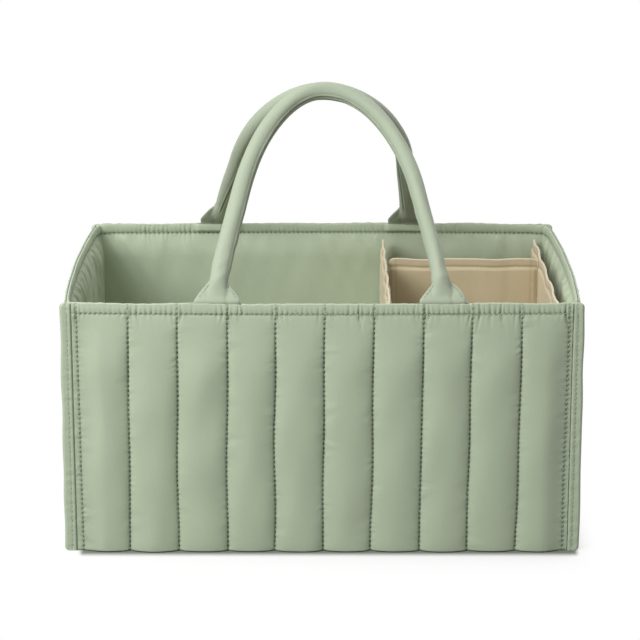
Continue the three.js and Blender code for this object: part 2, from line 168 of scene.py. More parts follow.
# Handles, in their own plane: x across and h up from the line where they fold
FOOT_SPACING = 163 * MM
KNEE_SPACING = 133 * MM
KNEE_HEIGHT = 88 * MM
ARCH_HEIGHT = 178.2 * MM
KNEE_SHIFT = 0.7 * MM
ARCH_SHIFT = 3.8 * MM
LEG_UPRIGHT = 0.28
KNEE_START = 0.7
KNEE_PULL = 0.66
CROWN_PULL = 0.485
TUBE = 6.7 * MM
TUBE_GROWTH = 18 * MM
TAB_HALF = 16.6 * MM
TAB_FLAT = 1.2 * MM
TAB_BORDER = 2.6 * MM
TAB_STITCH = STITCH * 0.75
BORDER_TOP = 12 * MM
SEWN_IN = 6.2 * MM
BEND = 2.5 * MM
RING = 88
CORD_RADIUS = 3.9 * MM
CORD_STRAND = 0.4 * MM
CORD_TWIST = 7 * MM
CORD_START = 22 * MM
CLOSING_SPOTS = (0.05, 0.3, 0.65, 0.95)

# Each tab has an inner and an outer shoulder, as where it starts, where it ends and how
# round it is. seam is the angle of the closing seam at each of its spots.
HANDLES = {
    "front": {"offset": 5.5 * MM, "inset": 0, "knee_in": 1.1 * MM, "reach": 8.5 * MM,
              "tabs": (((0, 14.6 * MM, 1.6), (0, 15.6 * MM, 1.0)),
                       ((0, 14 * MM, 1.25), (0, 14.6 * MM, 1.9))),
              "seam": (13, 25, 5, -12)},
    "back": {"offset": 1.8 * MM, "inset": 8.7 * MM, "knee_in": 0, "reach": 5.5 * MM,
             "tabs": (((3 * MM, 21 * MM, 1.2), (3 * MM, 23 * MM, 1.0)),
                      ((3 * MM, 21 * MM, 1.2), (3 * MM, 23 * MM, 1.0))),
             "seam": (299, 330, 342, 256)},
}

# The divider insert and the base
DIVIDER_HEM = 6 * MM
DIVIDER_EDGE = 0.9 * MM
DIVIDER_CORNER = 4 * MM
DIVIDER_SIDE_SEAM = 5 * MM
DIVIDER_STEP = 1.5 * MM
DIVIDER_WAVES = {"cross": 0.6 * MM, "middle": 0.5 * MM, "side": 0.9 * MM}
BASE_SEAM = 8 * MM
BASE_EDGE = 0.5 * MM
BASE_DEPTH = 0.35 * MM

# Seeds. The first four are added to a wall's own one, for its parts
GATHER_SEED = 5
RIM_SEED = 6
LINING_SEED = 20
HANDLE_SEED = 60
STRIP_SEED = 40
BASE_SEED = 70


def ripple(rng, along, length, count=7):
    """A smooth random line of about -1 to 1, with humps of about that length."""
    total = 0
    for _ in range(count):
        wave = 2 * math.pi / (length * rng.uniform(0.7, 1.5))
        total = total + np.sin(along * wave + rng.uniform(0, 2 * math.pi))
    return total / math.sqrt(count)


def swell(rng, x, z, across, up, count=10):
    """A soft random surface of about -1 to 1, with humps of about those two lengths."""
    total = 0
    for _ in range(count):
        turn_x = 2 * math.pi / across * rng.uniform(-1.3, 1.3)
        turn_z = 2 * math.pi / up * rng.uniform(0.3, 1.3)
        total = total + np.sin(x * turn_x + z * turn_z + rng.uniform(0, 2 * math.pi))
    return total / math.sqrt(count)


def smooth(value, low, high):
    """A soft step from 0 at low to 1 at high."""
    t = np.clip((value - low) / (high - low), 0, 1)
    return t * t * (3 - 2 * t)


def between(first, second, share):
    """That share of the way from the first value to the second one."""
    return first + (second - first) * share


def bump_at(distance, width):
    """A round hump that fades over a width."""
    return np.exp(-((distance / width) ** 2))


def from_beat(place, pitch):
    """How far a place is from the nearest one of a row with that pitch."""
    return np.abs((place / pitch + 0.5) % 1 - 0.5) * pitch


def lengths_along(places):
    """How far along a line each of its places is."""
    steps = np.linalg.norm(np.diff(places, axis=0), axis=1)
    return np.concatenate([[0], np.cumsum(steps)])


# Shader maths


class Value:
    """A number that changes over a surface, as a shader socket that sums can use."""

    def __init__(self, shader, socket):
        self.shader = shader
        self.socket = socket

    def other(self, key):
        """Another output of the same node."""
        return Value(self.shader, self.socket.node.outputs[key])

    def maths(self, operation, *terms):
        return self.shader.node("ShaderNodeMath", {"operation": operation}, dict(enumerate(terms)))

    def __add__(self, other):
        return self.maths("ADD", self, other)

    def __radd__(self, other):
        return self.maths("ADD", other, self)

    def __sub__(self, other):
        return self.maths("SUBTRACT", self, other)

    def __rsub__(self, other):
        return self.maths("SUBTRACT", other, self)

    def __mul__(self, other):
        return self.maths("MULTIPLY", self, other)

    def __rmul__(self, other):
        return self.maths("MULTIPLY", other, self)

    def power(self, other):
        return self.maths("POWER", self, other)

    def sine(self):
        return self.maths("SINE", self)

    def beyond(self, edge):
        """How far it lies outside of -edge to edge."""
        return self.maths("MAXIMUM", self.maths("ABSOLUTE", self) - edge, 0)

    def clamped(self):
        return self.maths("MAXIMUM", self.maths("MINIMUM", self, 1), 0)


class Shader:
    """The nodes of a material or of the world, made by their type, settings and sockets."""

    def __init__(self, owner):
        self.owner = owner
        owner.use_nodes = True
        self.tree = owner.node_tree
        self.tree.nodes.clear()

    def node(self, kind, settings=None, sockets=None, output=0):
        made = self.tree.nodes.new(kind)
        for key, value in (settings or {}).items():
            setattr(made, key, value)
        for key, value in (sockets or {}).items():
            if isinstance(value, Value):
                self.tree.links.new(value.socket, made.inputs[key])
            else:
                made.inputs[key].default_value = value
        return Value(self, made.outputs[output])

    def place(self):
        return self.node("ShaderNodeTexCoord", output="Object")

    def parts(self, place):
        """The three numbers of a place."""
        first = self.node("ShaderNodeSeparateXYZ", {}, {0: place})
        return first, first.other(1), first.other(2)

    def blend(self, share, first, second):
        settings = {"data_type": "RGBA", "clamp_factor": True}
        return self.node("ShaderNodeMix", settings, {0: share, 6: first, 7: second}, output=2)

    def painted(self, mark, strength, under, colour):
        """A colour over another one, where a piece has that mark."""
        share = self.node("ShaderNodeAttribute", {"attribute_name": mark}, output="Fac")
        return self.blend((share * strength).clamped(), under, colour)

    def noise(self, scale, detail=2.0):
        sockets = {"Vector": self.place(), "Scale": scale, "Detail": detail}
        return self.node("ShaderNodeTexNoise", {}, sockets, output="Fac")

    def bump(self, height, depth):
        sockets = {"Height": height, "Distance": depth, "Strength": 1.0}
        return self.node("ShaderNodeBump", {}, sockets)

    def seen(self):
        """1 for what the camera sees, straight on, in a gloss or through something clear."""
        straight = self.node("ShaderNodeLightPath", output="Is Camera Ray")
        rays = straight + straight.other("Is Glossy Ray") + straight.other("Is Transmission Ray")
        return rays.clamped()

    def diffuse(self, colour):
        return self.node("ShaderNodeBsdfDiffuse", {}, {"Color": colour})

    def mix(self, share, first, second):
        return self.node("ShaderNodeMixShader", {}, {0: share, 1: first, 2: second})

    def output(self, surface, kind="ShaderNodeOutputMaterial"):
        end = self.tree.nodes.new(kind)
        self.tree.links.new(surface.socket, end.inputs["Surface"])

    def finish(self, sockets):
        self.output(self.node("ShaderNodeBsdfPrincipled", {}, sockets))
        return self.owner


def linear(red, green, blue):
    """A colour from its screen values of 0 to 255."""
    channels = [c / 255 for c in (red, green, blue)]
    bent = [c / 12.92 if c <= 0.04045 else ((c + 0.055) / 1.055) ** 2.4 for c in channels]
    return (*bent, 1.0)


def shaded(colour, share):
    """The same colour with only that share of its light."""
    return (*(c * share for c in colour[:3]), 1.0)


SAGE = linear(172, 185, 161)
SAGE_WARM = linear(175, 186, 160)
# Painted shade: the handles' copy of the sage colour is darker, so that they show less light
SAGE_SHADED = linear(160, 171, 151)
SAGE_SHADED_WARM = linear(163, 172, 150)
# Darker sage: the cloth's own speckle, and also the painted shade of its creases and needle holes
SAGE_SPECKLE_AND_SHADE = linear(96, 108, 84)
SAGE_THREAD = linear(170, 182, 158)
KHAKI = linear(203, 190, 160)
KHAKI_WARM = linear(209, 193, 160)
# Darker khaki: the cloth's own speckle, and also the painted shade of its creases and needle holes
KHAKI_SPECKLE_AND_SHADE = linear(128, 112, 84)
KHAKI_THREAD = linear(176, 160, 128)
# The paler colour laid on marked folds, as wear and as a painted highlight
WEAR_AND_HIGHLIGHT_COLOUR = (0.86, 0.88, 0.82, 1.0)
THREAD_PITCH = 0.42 * MM
BROAD_SCALE = 22.0
SLUB_SCALE = 300.0
YARN_SCALE = 700.0
FINE_SCALE = 900.0
FOAM_SCALE = 1400.0
LOOP_SCALE = 1600.0
SPECKLE_STRENGTH = 0.14
PAINTED_SHADE_STRENGTH = 0.85
HOLE_SHADE_STRENGTH = 0.92
WEAR_AND_HIGHLIGHT_STRENGTH = 0.22


def weave(shader):
    """The height of a fine satin weave on the piece's own cloth map, from about 0 to 1."""
    across, up, _ = shader.parts(shader.node("ShaderNodeUVMap", {"uv_map": "cloth"}))
    turn = 2 * math.pi / THREAD_PITCH
    warp = (across * turn).sine()
    weft = (up * (turn * 0.94)).sine()
    return 0.5 + 0.3 * warp + 0.2 * weft * warp


def cloth(name, colour, warm, speckle_and_shade, depth=0.03 * MM, roughness=0.62):
    """A woven cloth with painted shade in its creases and needle holes, and wear with a painted
    highlight on its marked folds.
    """
    shader = Shader(bpy.data.materials.new(name))
    fine = shader.noise(FINE_SCALE, 3.0)
    base = shader.blend(shader.noise(BROAD_SCALE), colour, warm)
    speckled = shader.blend(fine * SPECKLE_STRENGTH, base, speckle_and_shade)
    # Painted shade: the cloth darkens towards its darker colour wherever a piece marks a crease or
    # groove
    shade_painted = shader.painted("crease", PAINTED_SHADE_STRENGTH, speckled, speckle_and_shade)
    # Painted shade in the needle holes, darkened nearly to black
    hole_shaded = shader.painted("hole", HOLE_SHADE_STRENGTH, shade_painted, shaded(speckle_and_shade, 0.16))
    slub = shader.noise(SLUB_SCALE)
    return shader.finish({
        # Wear and a painted highlight make the marked folds paler
        "Base Color": shader.painted("wear_and_highlight", WEAR_AND_HIGHLIGHT_STRENGTH, hole_shaded, WEAR_AND_HIGHLIGHT_COLOUR),
        "Roughness": roughness + 0.1 * fine,
        "Sheen Weight": 0.18,
        "Sheen Roughness": 0.45,
        "Specular IOR Level": 0.35,
        "Normal": shader.bump(weave(shader) + slub * 1.2, depth),
    })


def yarn(name, colour, pitch=0.7 * MM, depth=0.1 * MM):
    """Twisted sewing thread or cord."""
    shader = Shader(bpy.data.materials.new(name))
    tone = shader.noise(YARN_SCALE)
    x, y, z = shader.parts(shader.place())
    twist = ((x + y + z * 0.6) * (2 * math.pi / pitch)).sine()
    return shader.finish({
        "Base Color": shader.blend(tone * 0.6, colour, shaded(colour, 0.72)),
        "Roughness": 0.7 + 0.1 * tone,
        "Specular IOR Level": 0.3,
        "Normal": shader.bump(0.5 + 0.5 * twist, depth),
    })


def foam_board(name):
    """Closed-cell foam sheet with a faint pebbled skin."""
    shader = Shader(bpy.data.materials.new(name))
    cells = shader.noise(FOAM_SCALE, 3.0)
    stain = shader.noise(40.0)
    return shader.finish({
        "Base Color": shader.blend(stain, linear(229, 226, 217), linear(216, 212, 201)),
        "Roughness": 0.7 + 0.2 * cells,
        "Normal": shader.bump(cells, 0.1 * MM),
    })


def brushed_tape(name, colour):
    """Hook and loop tape: a dense pile of tiny loops."""
    shader = Shader(bpy.data.materials.new(name))
    loops = shader.noise(LOOP_SCALE, 4.0)
    return shader.finish({
        "Base Color": shader.blend(loops, shaded(colour, 0.6), colour),
        "Roughness": 0.85,
        "Sheen Weight": 0.3,
        "Normal": shader.bump(loops, 0.4 * MM),
    })


SAGE_CLOTH = cloth("sage_cloth", SAGE, SAGE_WARM, SAGE_SPECKLE_AND_SHADE)
# A darker copy of the sage cloth for the handles, as painted shade
SHADED_HANDLE_CLOTH = cloth("handle_shaded_cloth", SAGE_SHADED, SAGE_SHADED_WARM, SAGE_SPECKLE_AND_SHADE)
LINING_CLOTH = cloth("sage_lining_cloth", SAGE, SAGE_WARM, SAGE_SPECKLE_AND_SHADE, depth=0.04 * MM)
KHAKI_CLOTH = cloth("khaki_cloth", KHAKI, KHAKI_WARM, KHAKI_SPECKLE_AND_SHADE, depth=0.05 * MM, roughness=0.75)
SAGE_YARN = yarn("sage_thread", SAGE_THREAD)
KHAKI_YARN = yarn("khaki_thread", KHAKI_THREAD)
CORE_CORD = yarn("cotton_cord", linear(234, 231, 221), pitch=3 * MM, depth=0.5 * MM)
FOAM = foam_board("foam_board")
TAPE = brushed_tape("hook_and_loop", linear(143, 157, 130))


# Making pieces

MERGE = 1e-6
SMOOTH_ANGLE = math.radians(50)
THREAD = 0.3 * MM
STITCH_SHARE = 0.56
STITCH_DIP = 0.2 * MM


def skin(name, points, across, along, marks):
    """A closed piece of cloth. Each row of points runs along the piece, and the rows go
    round its section. across and along are its cloth map, and marks its painted masks."""
    closed = np.concatenate([points, points[:1]])
    rows, columns = closed.shape[:2]
    bpy.ops.object.select_all(action="DESELECT")
    bpy.ops.mesh.primitive_grid_add(x_subdivisions=columns - 1, y_subdivisions=rows - 1)
    piece = bpy.context.object
    piece.name = name
    mesh = piece.data
    mesh.name = name
    mesh.vertices.foreach_set("co", closed.reshape(-1).astype(np.float32))
    corner = np.zeros(len(mesh.loops), np.int32)
    mesh.loops.foreach_get("vertex_index", corner)
    layer = mesh.uv_layers.active or mesh.uv_layers.new()
    layer.name = "cloth"
    wide = np.broadcast_to(across, (rows, columns)).reshape(-1)[corner]
    tall = np.broadcast_to(along, (rows, columns)).reshape(-1)[corner]
    layer.data.foreach_set("uv", np.stack([wide, tall], -1).reshape(-1).astype(np.float32))
    # The painted masks: painted shade in creases and grooves, needle holes painted dark, and wear
    # with a painted highlight
    for mark in ("crease", "hole", "wear_and_highlight"):
        values = np.clip(np.broadcast_to(marks.get(mark, 0), points.shape[:2]), 0, 1)
        values = np.concatenate([values, values[:1]]).reshape(-1).astype(np.float32)
        mesh.attributes.new(mark, "FLOAT", "POINT").data.foreach_set("value", values)
    bpy.ops.object.mode_set(mode="EDIT")
    bpy.ops.mesh.select_all(action="SELECT")
    bpy.ops.mesh.remove_doubles(threshold=MERGE)
    bpy.ops.mesh.fill_holes(sides=0)
    bpy.ops.mesh.select_all(action="SELECT")
    bpy.ops.mesh.normals_make_consistent(inside=False)
    bpy.ops.object.mode_set(mode="OBJECT")
    bpy.ops.object.shade_smooth_by_angle(angle=SMOOTH_ANGLE)
    return piece


def running_length(points):
    """How far each row of a section lies round it, measured in the middle of the piece."""
    middle = points[:, points.shape[1] // 2]
    return lengths_along(np.concatenate([middle, middle[:1]]))[:, None]


def add_object(name, data):
    """A new object of the scene, made of that data."""
    made = bpy.data.objects.new(name, data)
    bpy.context.collection.objects.link(made)
    return made


def clothe(piece, material):
    """Gives a piece its one material."""
    piece.data.materials.clear()
    piece.data.materials.append(material)


def settle(piece, material, body, replaces=()):
    """Gives a finished piece its material, and the body that it moves with."""
    clothe(piece, material)
    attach(piece, body)
    if replaces:
        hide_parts(*replaces)


def stitch_shape():
    """One stitch, as points along, beside and above a line, with its faces."""
    sides = 6
    spots = [-0.5, -0.32, 0, 0.32, 0.5]
    fat = [0.35, 0.9, 1, 0.9, 0.35]
    points = []
    for spot, width in zip(spots, fat):
        for side in range(sides):
            angle = 2 * math.pi * side / sides
            points.append([spot, width * math.cos(angle), width * math.sin(angle)])
    faces = [tuple(reversed(range(sides))), tuple(range(len(points) - sides, len(points)))]
    for ring in range(len(spots) - 1):
        for side in range(sides):
            start, after = ring * sides + side, ring * sides + (side + 1) % sides
            faces.append((start, after, after + sides, start + sides))
    return np.array(points), faces


def stitches(name, runs, material, body):
    """Rows of stitches. A run is the places of its needle holes and the way out of the
    cloth."""
    shape, shape_faces = stitch_shape()
    lift = THREAD * shape[:, 2] + STITCH_DIP * (0.5 - (2 * shape[:, 0]) ** 2)
    points, faces = [], []
    for holes, way in runs:
        out = way / np.linalg.norm(way)
        for hole, after in zip(holes[:-1], holes[1:]):
            pitch = np.linalg.norm(after - hole)
            forward = (after - hole) / pitch
            placed = (hole + after) / 2 + np.outer(shape[:, 0] * pitch * STITCH_SHARE, forward)
            placed = placed + np.outer(shape[:, 1] * THREAD, np.cross(forward, out))
            start = len(points) * len(shape)
            faces.extend(tuple(start + corner for corner in face) for face in shape_faces)
            points.append(placed + np.outer(lift, out))
    mesh = bpy.data.meshes.new(name)
    mesh.from_pydata(np.concatenate(points).tolist(), [], faces)
    mesh.shade_smooth()
    settle(add_object(name, mesh), material, body)


def along_line(places, pitch):
    """Needle holes at about a pitch along a line of places."""
    length = lengths_along(places)
    spots = np.linspace(0, length[-1], max(2, round(length[-1] / pitch) + 1))
    return np.stack([np.interp(spots, length, places[:, i]) for i in range(3)], axis=-1)


class Wall:
    """A wall of the body. x runs along it, out is the depth outwards from its face, and
    the rim bows outwards in the middle."""

    def __init__(self, name, turn, reach, half, bow, channels, seed):
        self.name = name
        self.turn = turn
        self.reach = reach
        self.half = half
        self.bow = bow
        self.channels = channels
        self.seed = seed

    def turned(self, x, y, z):
        cos, sin = round(math.cos(self.turn)), round(math.sin(self.turn))
        return np.stack(np.broadcast_arrays(x * cos - y * sin, x * sin + y * cos, z), axis=-1)

    def place(self, x, out, z):
        bow = self.bow * (z / RIM) * (1 - (x / self.half) ** 2)
        return self.turned(x, -(self.reach + bow + out), z)

    def outwards(self):
        return self.turned(0.0, -1.0, 0.0)


WALLS = [
    Wall("front", 0, FRONT_REACH, FRONT_HALF, 3.5 * MM, 10, 11),
    Wall("right", math.pi / 2, END_REACH, END_HALF, 4 * MM, 7, 12),
    Wall("back", math.pi, FRONT_REACH, FRONT_HALF, 3.5 * MM, 10, 13),
    Wall("left", -math.pi / 2, END_REACH, END_HALF, 4 * MM, 7, 14),
]


def half_length(wall, part):
    """Half the length of one of the frame's parts of a wall."""
    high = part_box(f"{wall.name}_{part}")[1]
    return high.x if wall.name in HANDLES else high.y


def seam_lines(wall, rng, heights):
    """Where each upright seam runs, as one row of x values for each seam. They lean a
    little to the right, as hand-guided seams do."""
    span = wall.half - SEAM_MARGIN
    rise = heights / HEM_FOOT
    lines = []
    for k in range(wall.channels + 1):
        sway = END_SEAM_SWAY
        if k == 0:
            lean = END_SEAM_LEAN * (1 - rise)
        elif k == wall.channels:
            lean = END_SEAM_LEAN * rise**2
        else:
            lean = SEAM_LEAN * rise + rng.uniform(0, 1) * SEAM_OFFSET
            sway = SEAM_SWAY
        x = -span + 2 * span * k / wall.channels
        lines.append(x + lean + sway * ripple(rng, heights, SWAY_LENGTH))
    return np.array(lines)


def gathers(wall, x, away):
    """The small upright folds that the hem's stitches pull up: a valley at each of its
    needle holes, some deep and long and most of them faint, from about -1 to 0.3. away is
    the distance from the line of stitches."""
    rng = np.random.default_rng(wall.seed + GATHER_SEED)
    span = wall.half - SEAM_MARGIN
    places = np.arange(-span, span + STITCH / 2, STITCH)

    # They are deepest towards the right, in some bunches, and just beside the seams
    bunch = 0.3 + GATHER_MOST[wall.name] * smooth(places, -0.5 * span, 0.8 * span)
    bunch = bunch + 0.35 * np.clip(ripple(rng, places, GATHER_BUNCH), -0.7, 1.2)
    pitch = 2 * span / wall.channels
    from_seam = (places + span + pitch / 2) % pitch - pitch / 2
    bunch = bunch + rng.uniform(0, 0.7, len(places)) * bump_at(from_seam - 2 * MM, 7 * MM)
    depths = np.clip(bunch, 0.15, 1.2) * rng.uniform(0.4, 1.25, len(places))
    total = 0.3 * np.exp(-away / GATHER_FADE)
    for place, depth in zip(places, depths):
        middle = place + rng.uniform(-0.5, 0.5) * MM
        middle = middle + rng.uniform(-GATHER_LEAN, GATHER_LEAN) * away
        width = rng.uniform(0.6, 1) * MM
        reach = (2.5 + 4.5 * min(depth, 1) ** 2) * MM
        total = total - depth * bump_at(x - middle, width) * np.exp(-away / reach)
    return total


def bulk(wall, x):
    """How far the hem is on its way to its full thickness at the wall's ends."""
    return 1 - smooth(wall.half - np.abs(x), 2 * MM, CORNER_BULK)


def over_tabs(wall, x):
    """Where the inner side of the hem goes round a sewn-in tab."""
    cover = np.zeros_like(x)
    for tab in tab_places(wall):
        cover = np.maximum(cover, smooth(TAB_HALF + TAB_BULK - np.abs(x - tab), 0, TAB_BULK))
    return cover


def rim_line(wall, x):
    """How far the rim stands above or below its straight line."""
    rng = np.random.default_rng(wall.seed + RIM_SEED)
    return RIM_SWAY * ripple(rng, x, 75 * MM) + RIM_JITTER * ripple(rng, x, 9 * MM)


def wall_columns(wall, seams):
    """The columns of a quilted wall: x at each height, the channel that each is in, and its
    share of the way across it. A flat margin lies beyond the outer seams."""
    even = np.arange(COLUMNS) / COLUMNS
    crowded = even - CROWDING * np.sin(2 * math.pi * even) / (2 * math.pi)
    share = np.concatenate([c + crowded for c in range(wall.channels)] + [[wall.channels]])
    channel = np.minimum(share.astype(int), wall.channels - 1)
    part = share - channel
    x = seams[channel].T * (1 - part) + seams[channel + 1].T * part
    margin = np.arange(MARGIN_COLUMNS) / MARGIN_COLUMNS
    left = -wall.half + (seams[0][:, None] + wall.half) * margin
    right = wall.half + (seams[-1][:, None] - wall.half) * margin[::-1]
    spare = np.zeros(MARGIN_COLUMNS)
    x = np.concatenate([left, x, right], axis=1)
    part = np.concatenate([spare, part, spare])
    return x, np.concatenate([spare, channel, spare]).astype(int), part


def crowns(wall, rng, heights, channel, part):
    """How far the channels swell out between their seams. The first and last ones slope
    more gently towards the corners."""
    near_top = bump_at((HEM_FOOT - heights)[:, None], TOP_BAND)
    fullness = between(CROWN_FULLNESS, TOP_FULLNESS, near_top)
    sloped = between(CORNER_SLOPE, CORNER_SLOPE_TOP, near_top)
    crown = np.zeros((len(heights), len(part)))
    for c in range(wall.channels):
        inside = channel == c
        lean = 0.03 * ripple(rng, heights, 90 * MM)[:, None] * np.sin(2 * math.pi * part[inside])
        full = 1 + 0.08 * ripple(rng, heights, 80 * MM)[:, None]
        tilted = np.clip((part[inside] + lean - SHELF) / (1 - 2 * SHELF), 0, 1)
        first = (c == 0) * (tilted < 0.5)
        last = (c == wall.channels - 1) * (tilted > 0.5)
        held = 1 - FIRST_HELD * first * (1 - smooth(tilted, 0.08, 0.5))
        rounding = between(fullness, sloped, last)
        crown[:, inside] = CROWN * full * held * np.sin(math.pi * tilted) ** rounding
    return crown


def padding_at(z):
    """How much of its thickness the padding has at a height: it turns in under the foot,
    and the hem's stitches pull it flat, with a small puff just below them."""
    foot = np.sqrt(1 - 0.2 * (1 - np.clip(z / FOOT_ROUNDING, 0, 1)) ** 2)
    foot = foot * (0.1 + 0.9 * smooth(z, 0.2 * MM, FOOT_TURN))
    below = HEM_FOOT - z
    level = np.clip((below - PULLED) / (PINCH - PULLED), 0, 1)
    rise = np.minimum(below, PULLED) + (PINCH - PULLED) * (level - level**3 + level**4 / 2)
    rise = rise / (PULLED + (PINCH - PULLED) / 2)
    return foot * (PUFF_SHARE * (1 - np.exp(-below / PUFF)) + (1 - PUFF_SHARE) * rise)


def puckers(rng, heights, reach):
    """The small folds on one side of a seam: a beat with its stitches, short folds close
    beside it and long faint ones further out, all of them slanting a little."""
    up = heights[:, None] + 0.5 * ripple(rng, heights, 30 * MM)[:, None] * reach
    strength = 0.6 + 0.4 * ripple(rng, heights, 45 * MM)[:, None]
    beat = -np.cos(2 * math.pi * heights / STITCH)[:, None] * np.exp(-reach / (1.6 * MM))
    short = ripple(rng, up, 5 * MM) * np.exp(-((reach / (2.8 * MM)) ** 1.5))
    long = ripple(rng, up, 16 * MM) * bump_at(reach, 8 * MM)
    fold = PUCKER_BEAT * beat + PUCKER_SHORT * short * strength + PUCKER_LONG * long
    return fold * (1 - bump_at(reach, 0.5 * MM))


def face_relief(wall, rng, seams, heights):
    """The outer face of a quilted wall between its foot and the hem's stitches: x and out
    as rows by columns, with the painted shade along its seams and its needle holes."""
    x, channel, part = wall_columns(wall, seams)
    z = heights[:, None]
    share = padding_at(z)
    crown = crowns(wall, rng, heights, channel, part)
    soft = swell(rng, x, z, 60 * MM, 110 * MM) + 0.4 * swell(rng, x, z, 25 * MM, 60 * MM)
    out = crown * share + SOFTNESS * soft * share * (crown / CROWN)

    away = np.full_like(x, 1.0)
    for line in seams:
        gap = x - line[:, None]
        reach = np.abs(gap)
        away = np.minimum(away, reach)
        for side in (-1, 1):
            near = (np.sign(gap) == side) & (reach < PUCKER_REACH)
            out = out + np.where(near, puckers(rng, heights, reach), 0)

    hole = bump_at(away, 0.6 * MM) * bump_at(from_beat(z, STITCH), 0.75 * MM)
    # Painted shade along every seam, and more beside the outer seams, where the corner strips
    # shade the cloth
    crease = 0.1 * bump_at(away, 0.9 * MM) + 0.1 * bump_at(away, 2.5 * MM)
    outer = np.minimum(np.abs(x - seams[0][:, None]), np.abs(x - seams[-1][:, None]))
    crease = crease + 0.16 * bump_at(outer, 1.6 * MM) + 0.08 * bump_at(outer, 7 * MM)
    return x, out - HOLE_DEPTH * hole, crease, hole


def stitch_rows():
    """The heights of a quilted wall's rows, some for each stitch of its seams."""
    return np.linspace(0, HEM_FOOT, STITCHES_UP * STITCH_ROWS + 1)


def seam_tops(wall):
    """Where the upright seams meet the hem."""
    return seam_lines(wall, np.random.default_rng(wall.seed), stitch_rows())[:, -1]


def hem_marks(wall, x):
    """Along the hem's stitches, how close each place is to a gap between two of them."""
    span = wall.half - SEAM_MARGIN
    near = smooth(-from_beat(x + span, STITCH), -1 * MM, -0.4 * MM)
    return 0.75 * near * (np.abs(x) <= span + STITCH / 4)


def make_quilted_wall(wall):
    """A quilted wall below its hem: the channels, turned in at the top, and a flat back."""
    rng = np.random.default_rng(wall.seed)
    heights = stitch_rows()
    seams = seam_lines(wall, rng, heights)
    x, out, crease, hole = face_relief(wall, rng, seams, heights)
    below = HEM_FOOT - heights[:, None]
    gather = gathers(wall, x, 1.2 * below)
    hem_hole = bump_at(below, NEEDLE) * hem_marks(wall, x[-1])
    out = out + 1.25 * GATHER * gather * (1 - bump_at(below, 0.5 * MM)) - 0.5 * MM * hem_hole
    # Painted shade in the valleys of the gathers below the hem, and along the foot where the wall
    # meets the floor
    crease = crease + 1.3 * np.clip(-gather - 0.1, 0, 1)
    crease = crease + 1.2 * bump_at(heights[:, None], 1 * MM)

    rest = np.concatenate([PANEL_TURN + (0, HEM_FOOT), [(-PANEL, RIM / 2), (-PANEL, 0)]])
    flat = np.zeros((len(rest), x.shape[1]))
    all_x = np.concatenate([x, x[-1] + flat])
    all_out = np.concatenate([out, rest[:, :1] + flat])
    all_z = np.concatenate([heights[:, None] + np.zeros_like(x), rest[:, 1:] + flat])
    points = wall.place(all_x, all_out, all_z)
    marks = {
        "crease": np.concatenate([crease, flat]),
        "hole": np.concatenate([np.maximum(hole, hem_hole), flat]),
    }
    across = np.concatenate([all_x, all_x[:1]])
    piece = skin(f"{wall.name}_quilted_wall", points, across, running_length(points), marks)
    settle(piece, SAGE_CLOTH, "caddy_body", [f"{wall.name}_outer_panel"])

    rows = slice(0, None, STITCH_ROWS)
    out_way = wall.outwards()
    runs = [(wall.place(line[rows], 0.35 * MM, heights[rows]), out_way) for line in seams]
    stitches(f"{wall.name}_quilting_thread", runs, SAGE_YARN, "caddy_body")


